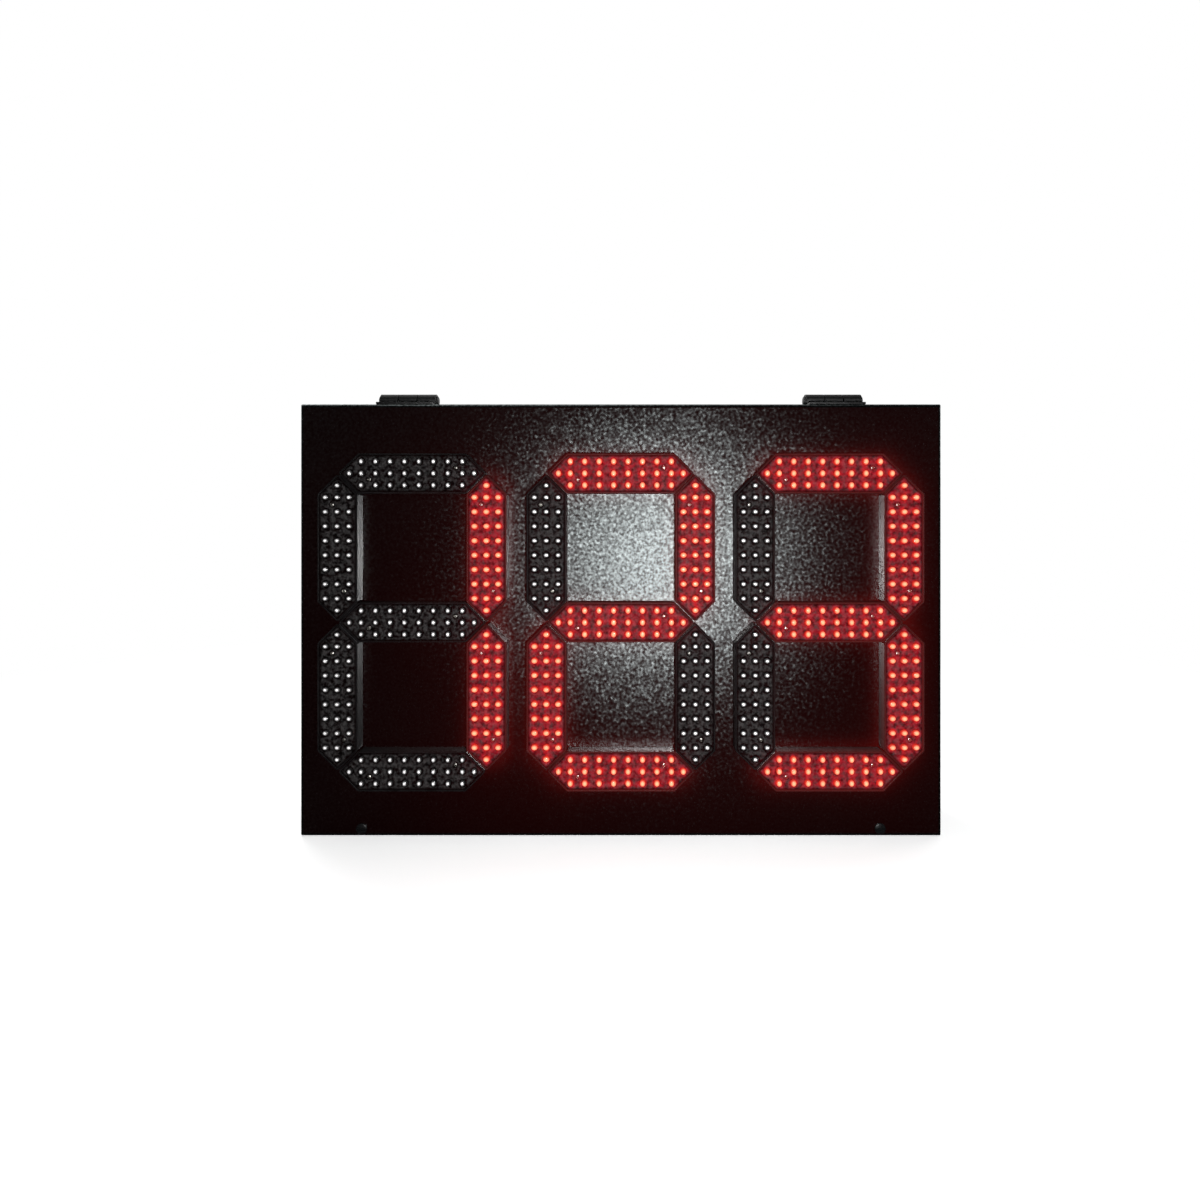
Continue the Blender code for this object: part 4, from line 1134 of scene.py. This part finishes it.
def build_supply():
    """The supply: its slotted cover over a shelf, and a terminal row of bar, fins, clamps and screws."""
    low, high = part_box("power_supply")
    step = low.y + SUPPLY_STEP_DEPTH
    shelf_top = low.z + SUPPLY_STEP_HEIGHT + 0.001
    shelf = rounded_block((low.x, step, low.z), (high.x, high.y, shelf_top), 0.0012, 0.0006)
    screw = screw_shape(0.0026, 0.0012, 0.0004, sunk=0.0002)
    corners = [(x, step, low.z + 0.004) for x in (low.x + 0.008, high.x - 0.008)]
    shapes = [supply_cover(low, high), shelf, *[moved(screw, place) for place in corners]]
    make_piece("supply", shapes, ZINC, "cabinet_body", ["power_supply"])
    middle, wide = (low.x + high.x) / 2, TERMINAL_WIDTH
    base, top = low.z + 0.0015, low.z + SUPPLY_STEP_HEIGHT - 0.0010
    front = step - 0.0048
    bar = rounded_block((middle - 4.6 * wide, front, base), (middle + 4.6 * wide, step - 0.0001, top), 0.0006)
    fins = [rounded_block((x - 0.0006, front - 0.0052, base), (x + 0.0006, front + 0.0005, top), 0.0003)
            for x in middle + spread(TERMINALS + 1, wide)]
    make_piece("supply_terminals", [bar, *fins], CHIP, "cabinet_body")
    clamp = [block(0.0034, 0.0038, -0.0010, 0.0002, 0.0005, 0.0002),
             moved(screw_shape(0.0029, 0.0017, 0.0004, sides=20), (0, -0.0010, 0))]
    places = [(x, front, (base + top) / 2) for x in middle + spread(TERMINALS, wide)]
    screws = [shape for place in places for shape in all_at(clamp, place)]
    make_piece("supply_screws", screws, TIN, "cabinet_body")


def legs(count, pitch, reach, side, rise):
    """Bent legs of a chip: a line out of its side, down and along the board, one sheet strip for each leg."""
    line = [(-rise, side - 0.0002), (-rise, side + 0.0003), (-0.0003, side + 0.0006), (-0.0002, reach)]
    strip = folded_sheet(line, 0.00011, -pitch * 0.22, pitch * 0.22, 0.00002)
    return [moved(strip, (x, 0, 0)) for x in spread(count, pitch)]


def chip(width, tall, rise, count, pitch, four_sided=False):
    """A flat chip in two halves, the upper one smaller, and its legs on two sides or all four."""
    side = tall / 2 - 0.0011
    across = side if four_sided else width / 2
    body = [block(across, side, -rise * 0.55, -0.0002, 0.0003, 0.0001),
            block(across - 0.0002, side - 0.0002, -rise, -rise * 0.50, 0.0003, 0.0001)]
    row = legs(count, pitch, tall / 2, side, rise * 0.5)
    metal = row + [(points * (1, 1, -1), faces[:, ::-1]) for points, faces in row]
    if four_sided:
        metal += all_at(metal, (0, 0, 0), True)
    return body, metal


def small_parts(places):
    """Small two-ended parts on a board: a dark body and a tinned cap at each end."""
    body = block(0.0006, 0.0006, -0.0006, 0.0, 0.0001, steps=1)
    cap = block(0.0003, 0.0007, -0.0007, 0.0, 0.0001, steps=1)
    bodies = [moved(body, place) for place in places]
    return bodies, [moved(cap, (x + side, y, z)) for x, y, z in places for side in (-0.0008, 0.0008)]


def shroud(width, tall, rise, pins, rows):
    """An open connector: walls, rim and floor as one profile carried round a rectangle, and pointed pins."""
    wall, floor = 0.0006, -0.0012
    profile = [(0.001, 0), (0, 0), (0, -rise), (wall, -rise), (wall, floor), (wall + 0.001, floor)]
    box = skin(carried(rectangle(width / 2, tall / 2), 0.0005, softened(profile, 0.0002), 2))
    square = rectangle(1, 1)
    sizes = (0.00032, 0.00032, 0.00016)
    depths = (floor + 0.0001, -rise * 0.78, -rise * 0.86)
    pin = skin([np.column_stack([square[:, 0] * s, np.full(4, y), square[:, 1] * s])
                for s, y in zip(sizes, depths)])
    return box, [moved(pin, (x, 0, z)) for x in spread(pins, 0.00254) * 0.94 for z in spread(rows, 0.0020)]


def board_sheet(low, high):
    """A board with round corners and crisp edges, and a screw at each corner. Its parts stand at y = 0."""
    half = (high - low) / 2
    sheet = block(half.x, half.z, 0, BOARD_THICKNESS, 0.0020, 0.00015)
    screw = screw_shape(0.0027, 0.0016, 0.0004)
    return sheet, [moved(screw, place) for place in near_corners(-half, half, BOARD_INSET, 0)]


def place_board(name, node, body, groups, flip):
    """Moves a board's shapes to its place, turned to face back where its parts do, and makes the pieces."""
    low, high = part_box(node)
    y = low.y + BOARD_THICKNESS if flip else high.y - BOARD_THICKNESS
    place = ((low.x + high.x) / 2, y, (low.z + high.z) / 2)
    for suffix, material, slot, shapes in groups:
        shapes = [turned_about(shape) for shape in shapes] if flip else shapes
        nodes = [node] if suffix == "sheet" else ()
        make_piece(f"{name}_{suffix}", all_at(shapes, place), material, body, nodes)


def build_timer_board():
    """Timer board on the back wall, its parts towards the door."""
    low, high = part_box("control_board")
    wide, tall = high.x - low.x, high.z - low.z
    sheet, screws = board_sheet(low, high)
    body, metal = chip(0.014, 0.014, 0.0016, 12, 0.0008, True)
    relay = [block(0.0095, 0.0075, -0.0146, -0.0003, 0.0008, 0.0006),
             block(0.0085, 0.0065, -0.0150, -0.0140, 0.0006, 0.0003)]
    relay = all_at(relay, (-wide * 0.30, 0, tall * 0.22))
    can = [block(0.0150, 0.0100, -0.0034, 0.0, 0.0010, 0.0004),
           block(0.0125, 0.0075, -0.0040, -0.0030, 0.0014, 0.0004)]
    metal += all_at(can, (wide * 0.28, 0, tall * 0.20))
    tub = softened([
        (0.001, 0), (0.0048, 0), (0.0048, -0.0010), (0.0045, -0.0014), (0.0049, -0.0019), (0.0049, -0.0110),
        (0.0045, -0.0116), (0.001, -0.0116),
    ], 0.0003)
    spot = (-wide * 0.10, 0, tall * 0.25)
    body.append(moved(skin(turned(tub, 32)), spot))
    lid = screw_shape(0.0040, 0.0006, 0.0002, sunk=0.0002, sides=32)
    metal.append(moved(lid, (spot[0], -0.0114, spot[2])))
    clamp = [block(0.0026, 0.0050, -0.0086, 0.0, 0.0004),
             rounded_block((-0.0024, -0.0096, 0.0010), (0.0024, -0.0080, 0.0048), 0.0004)]
    clamp_screw = screw_shape(0.0019, 0.0008, 0.0003, cross=False, sunk=0.0004, sides=20)
    clamps = []
    z = -tall * 0.38
    for x in [(i - 1.5) * wide * 0.18 + cell * 0.0053 for i in range(4) for cell in (-1, 0, 1)]:
        clamps += all_at(clamp, (x, 0, z))
        metal.append(moved(clamp_screw, (x, -0.0086, z - 0.0020)))
    column, row = (grid.ravel() for grid in np.meshgrid(np.arange(9), np.arange(4)))
    x = -0.030 + column * 0.0062 + 0.0012 * (row % 2)
    z = -0.0105 - row * 0.0034 + 0.0010 * (column % 3)
    z = np.where(np.abs(x) < 0.010, z - 0.001, z)
    dark, caps = small_parts([(a, 0, b) for a, b in zip(x, z)])
    body += dark
    metal += caps + screws
    place_board("timer_board", "control_board", "cabinet_body", [
        ("sheet", BOARD, "board_green", [sheet]), ("chips", CHIP, "gland_nylon", body),
        ("metal", TIN, "fastener_steel", metal), ("relay", RELAY, "gland_nylon", relay),
        ("clamps", CLAMP, "gland_nylon", clamps)], False)


def build_lamp_board():
    """Lamp driver board on the back of the door, its parts towards the cabinet."""
    low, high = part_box("driver_board")
    wide, tall = high.x - low.x, high.z - low.z
    sheet, screws = board_sheet(low, high)
    chips, metal, boxes = [], screws, []
    package, package_legs = chip(0.0172, 0.008, 0.0022, 12, 0.00127)
    box, pins = shroud(0.026, 0.006, 0.0055, 10, 2)
    for digit in (-1, 0, 1):
        x = digit * wide * 0.3
        for side in (-1, 1):
            place = (x + side * wide * 0.05, 0, 0)
            chips += all_at(package, place)
            metal += all_at(package_legs, place)
        boxes.append(moved(box, (x, 0, tall * 0.3)))
        metal += all_at(pins, (x, 0, tall * 0.3))
        places = [(x + a, 0, -tall * 0.32 + 0.0022 * (i % 2)) for i, a in enumerate(spread(8, 0.0068))]
        dark, caps = small_parts(places)
        chips += dark
        metal += caps
    place_board("lamp_board", "driver_board", "door_body", [
        ("sheet", BOARD, "board_green", [sheet]), ("chips", CHIP, "gland_nylon", chips),
        ("metal", TIN, "fastener_steel", metal), ("connectors", IVORY, "gland_nylon", boxes)], True)


# Studio

CAMERA_PLACE = (0.0012, DOOR_FRONT - 0.510, 0.240)
FLASH_PLACE = (0.057, DOOR_FRONT - 0.515, 0.190)
FLOOR_HALF = 6.0


def seen_light(tree, coordinates, far):
    """How white a ray sees its surroundings: 1 for the camera, and for reflections 0 in front and 1 behind.

    It gives the coordinates, 1 for camera, glossy and transmission rays, and that share.
    """
    path = tree.node("LightPath").node.outputs
    seen = tree.math("MAXIMUM", path["Is Camera Ray"], path["Is Glossy Ray"])
    seen = tree.math("MAXIMUM", seen, path["Is Transmission Ray"])
    place = tree.node("TexCoord", output=coordinates)
    depth = tree.node("SeparateXYZ", (place,), "Y")
    behind = tree.node("MapRange", {"Value": depth, "From Min": -0.05, "From Max": far}, "Result")
    share = tree.math("MAXIMUM", path["Is Camera Ray"], tree.math("MULTIPLY", seen, behind))
    return place, seen, share


def build_world():
    """White behind the part for the camera and for reflections, and dim grey light from all round."""
    world = bpy.data.worlds.new("studio")
    bpy.context.scene.world = world
    world.use_nodes = True
    world.node_tree.nodes.clear()
    tree = Nodes(world.node_tree)
    _, _, share = seen_light(tree, "Generated", 0.35)
    dim = tree.node("Background", {"Color": (0.96, 0.98, 1.0), "Strength": 0.05})
    white = tree.node("Background", {"Color": (1, 1, 1), "Strength": 1.0})
    tree.node("OutputWorld", {"Surface": tree.node("MixShader", (share, dim, white))})


def build_floor():
    """A pale floor that keeps the part's shadow near it and fades to white further out."""
    mesh = bpy.data.meshes.new("floor")
    corners = [(x, z, 0) for x, z in rectangle(FLOOR_HALF, FLOOR_HALF)]
    mesh.from_pydata(corners, [], [(0, 1, 2, 3)])
    floor = bpy.data.objects.new("floor", mesh)
    bpy.context.scene.collection.objects.link(floor)
    material = bpy.data.materials.new("pale_floor")
    material.use_nodes = True
    material.node_tree.nodes.clear()
    tree = Nodes(material.node_tree)
    place, seen, share = seen_light(tree, "Object", 0.15)
    pale = tree.node("BsdfDiffuse", {"Color": (0.80, 0.80, 0.80)})
    dim = tree.node("BsdfDiffuse", {"Color": (0.03, 0.03, 0.03)})
    base = tree.node("MixShader", (tree.math("SUBTRACT", seen, share), pale, dim))
    lift = tree.node("Emission", {"Strength": tree.math("MULTIPLY", share, 0.62)})
    near = tree.node("AddShader", (base, lift))
    far = tree.node("Emission", {"Strength": share})
    away = tree.vector("LENGTH", (place,), "Value")
    fade = tree.node("MapRange", {"Value": away, "From Min": 0.35, "From Max": 1.1}, "Result",
                     interpolation_type="SMOOTHSTEP")
    tree.node("OutputMaterial", {"Surface": tree.node("MixShader", (fade, near, far))})
    mesh.materials.append(material)


def soft_lamp(name, place, target, size, power):
    """A square lamp that faces a point and that the camera doesn't see. It gives the lamp's light."""
    light = bpy.data.lights.new(name, "AREA")
    light.size = size
    light.energy = power
    lamp = bpy.data.objects.new(name, light)
    lamp.location = place
    lamp.rotation_euler = (Vector(target) - Vector(place)).to_track_quat("-Z", "Y").to_euler()
    lamp.visible_camera = False
    bpy.context.scene.collection.objects.link(lamp)
    return light


def build_lights():
    """A small round flash beside the camera, and three wide lamps above and behind the part."""
    middle = (0, 0, PANEL_HEIGHT / 2)
    flash = soft_lamp("front_lamp", FLASH_PLACE, (FLASH_PLACE[0], 0, FLASH_PLACE[2]), 0.06, 2.45)
    flash.shape = "DISK"
    soft_lamp("overhead", (-0.3, 0.3, 1.9), middle, 1.4, 12)
    soft_lamp("rear_left", (-1.3, 1.5, 1.2), middle, 1.2, 22)
    soft_lamp("rear_right", (1.5, 1.1, 0.9), middle, 1.2, 14)


def build_camera():
    """Square to the panel, with the sensor shifted so that the display lies where it does in the frame."""
    camera = bpy.data.cameras.new("camera")
    camera.sensor_width = 36
    camera.lens = 19.9
    camera.shift_x = -0.0187
    camera.shift_y = -0.0628
    camera.clip_start = 0.01
    view = bpy.data.objects.new("camera", camera)
    view.location = CAMERA_PLACE
    view.rotation_euler = (math.pi / 2, 0, 0)
    bpy.context.scene.collection.objects.link(view)
    bpy.context.scene.camera = view


bpy.context.scene.view_settings.view_transform = "Standard"
build_modules()
build_door()
build_cabinet()
build_hardware()
build_supply()
build_timer_board()
build_lamp_board()
build_world()
build_floor()
build_lights()
build_camera()
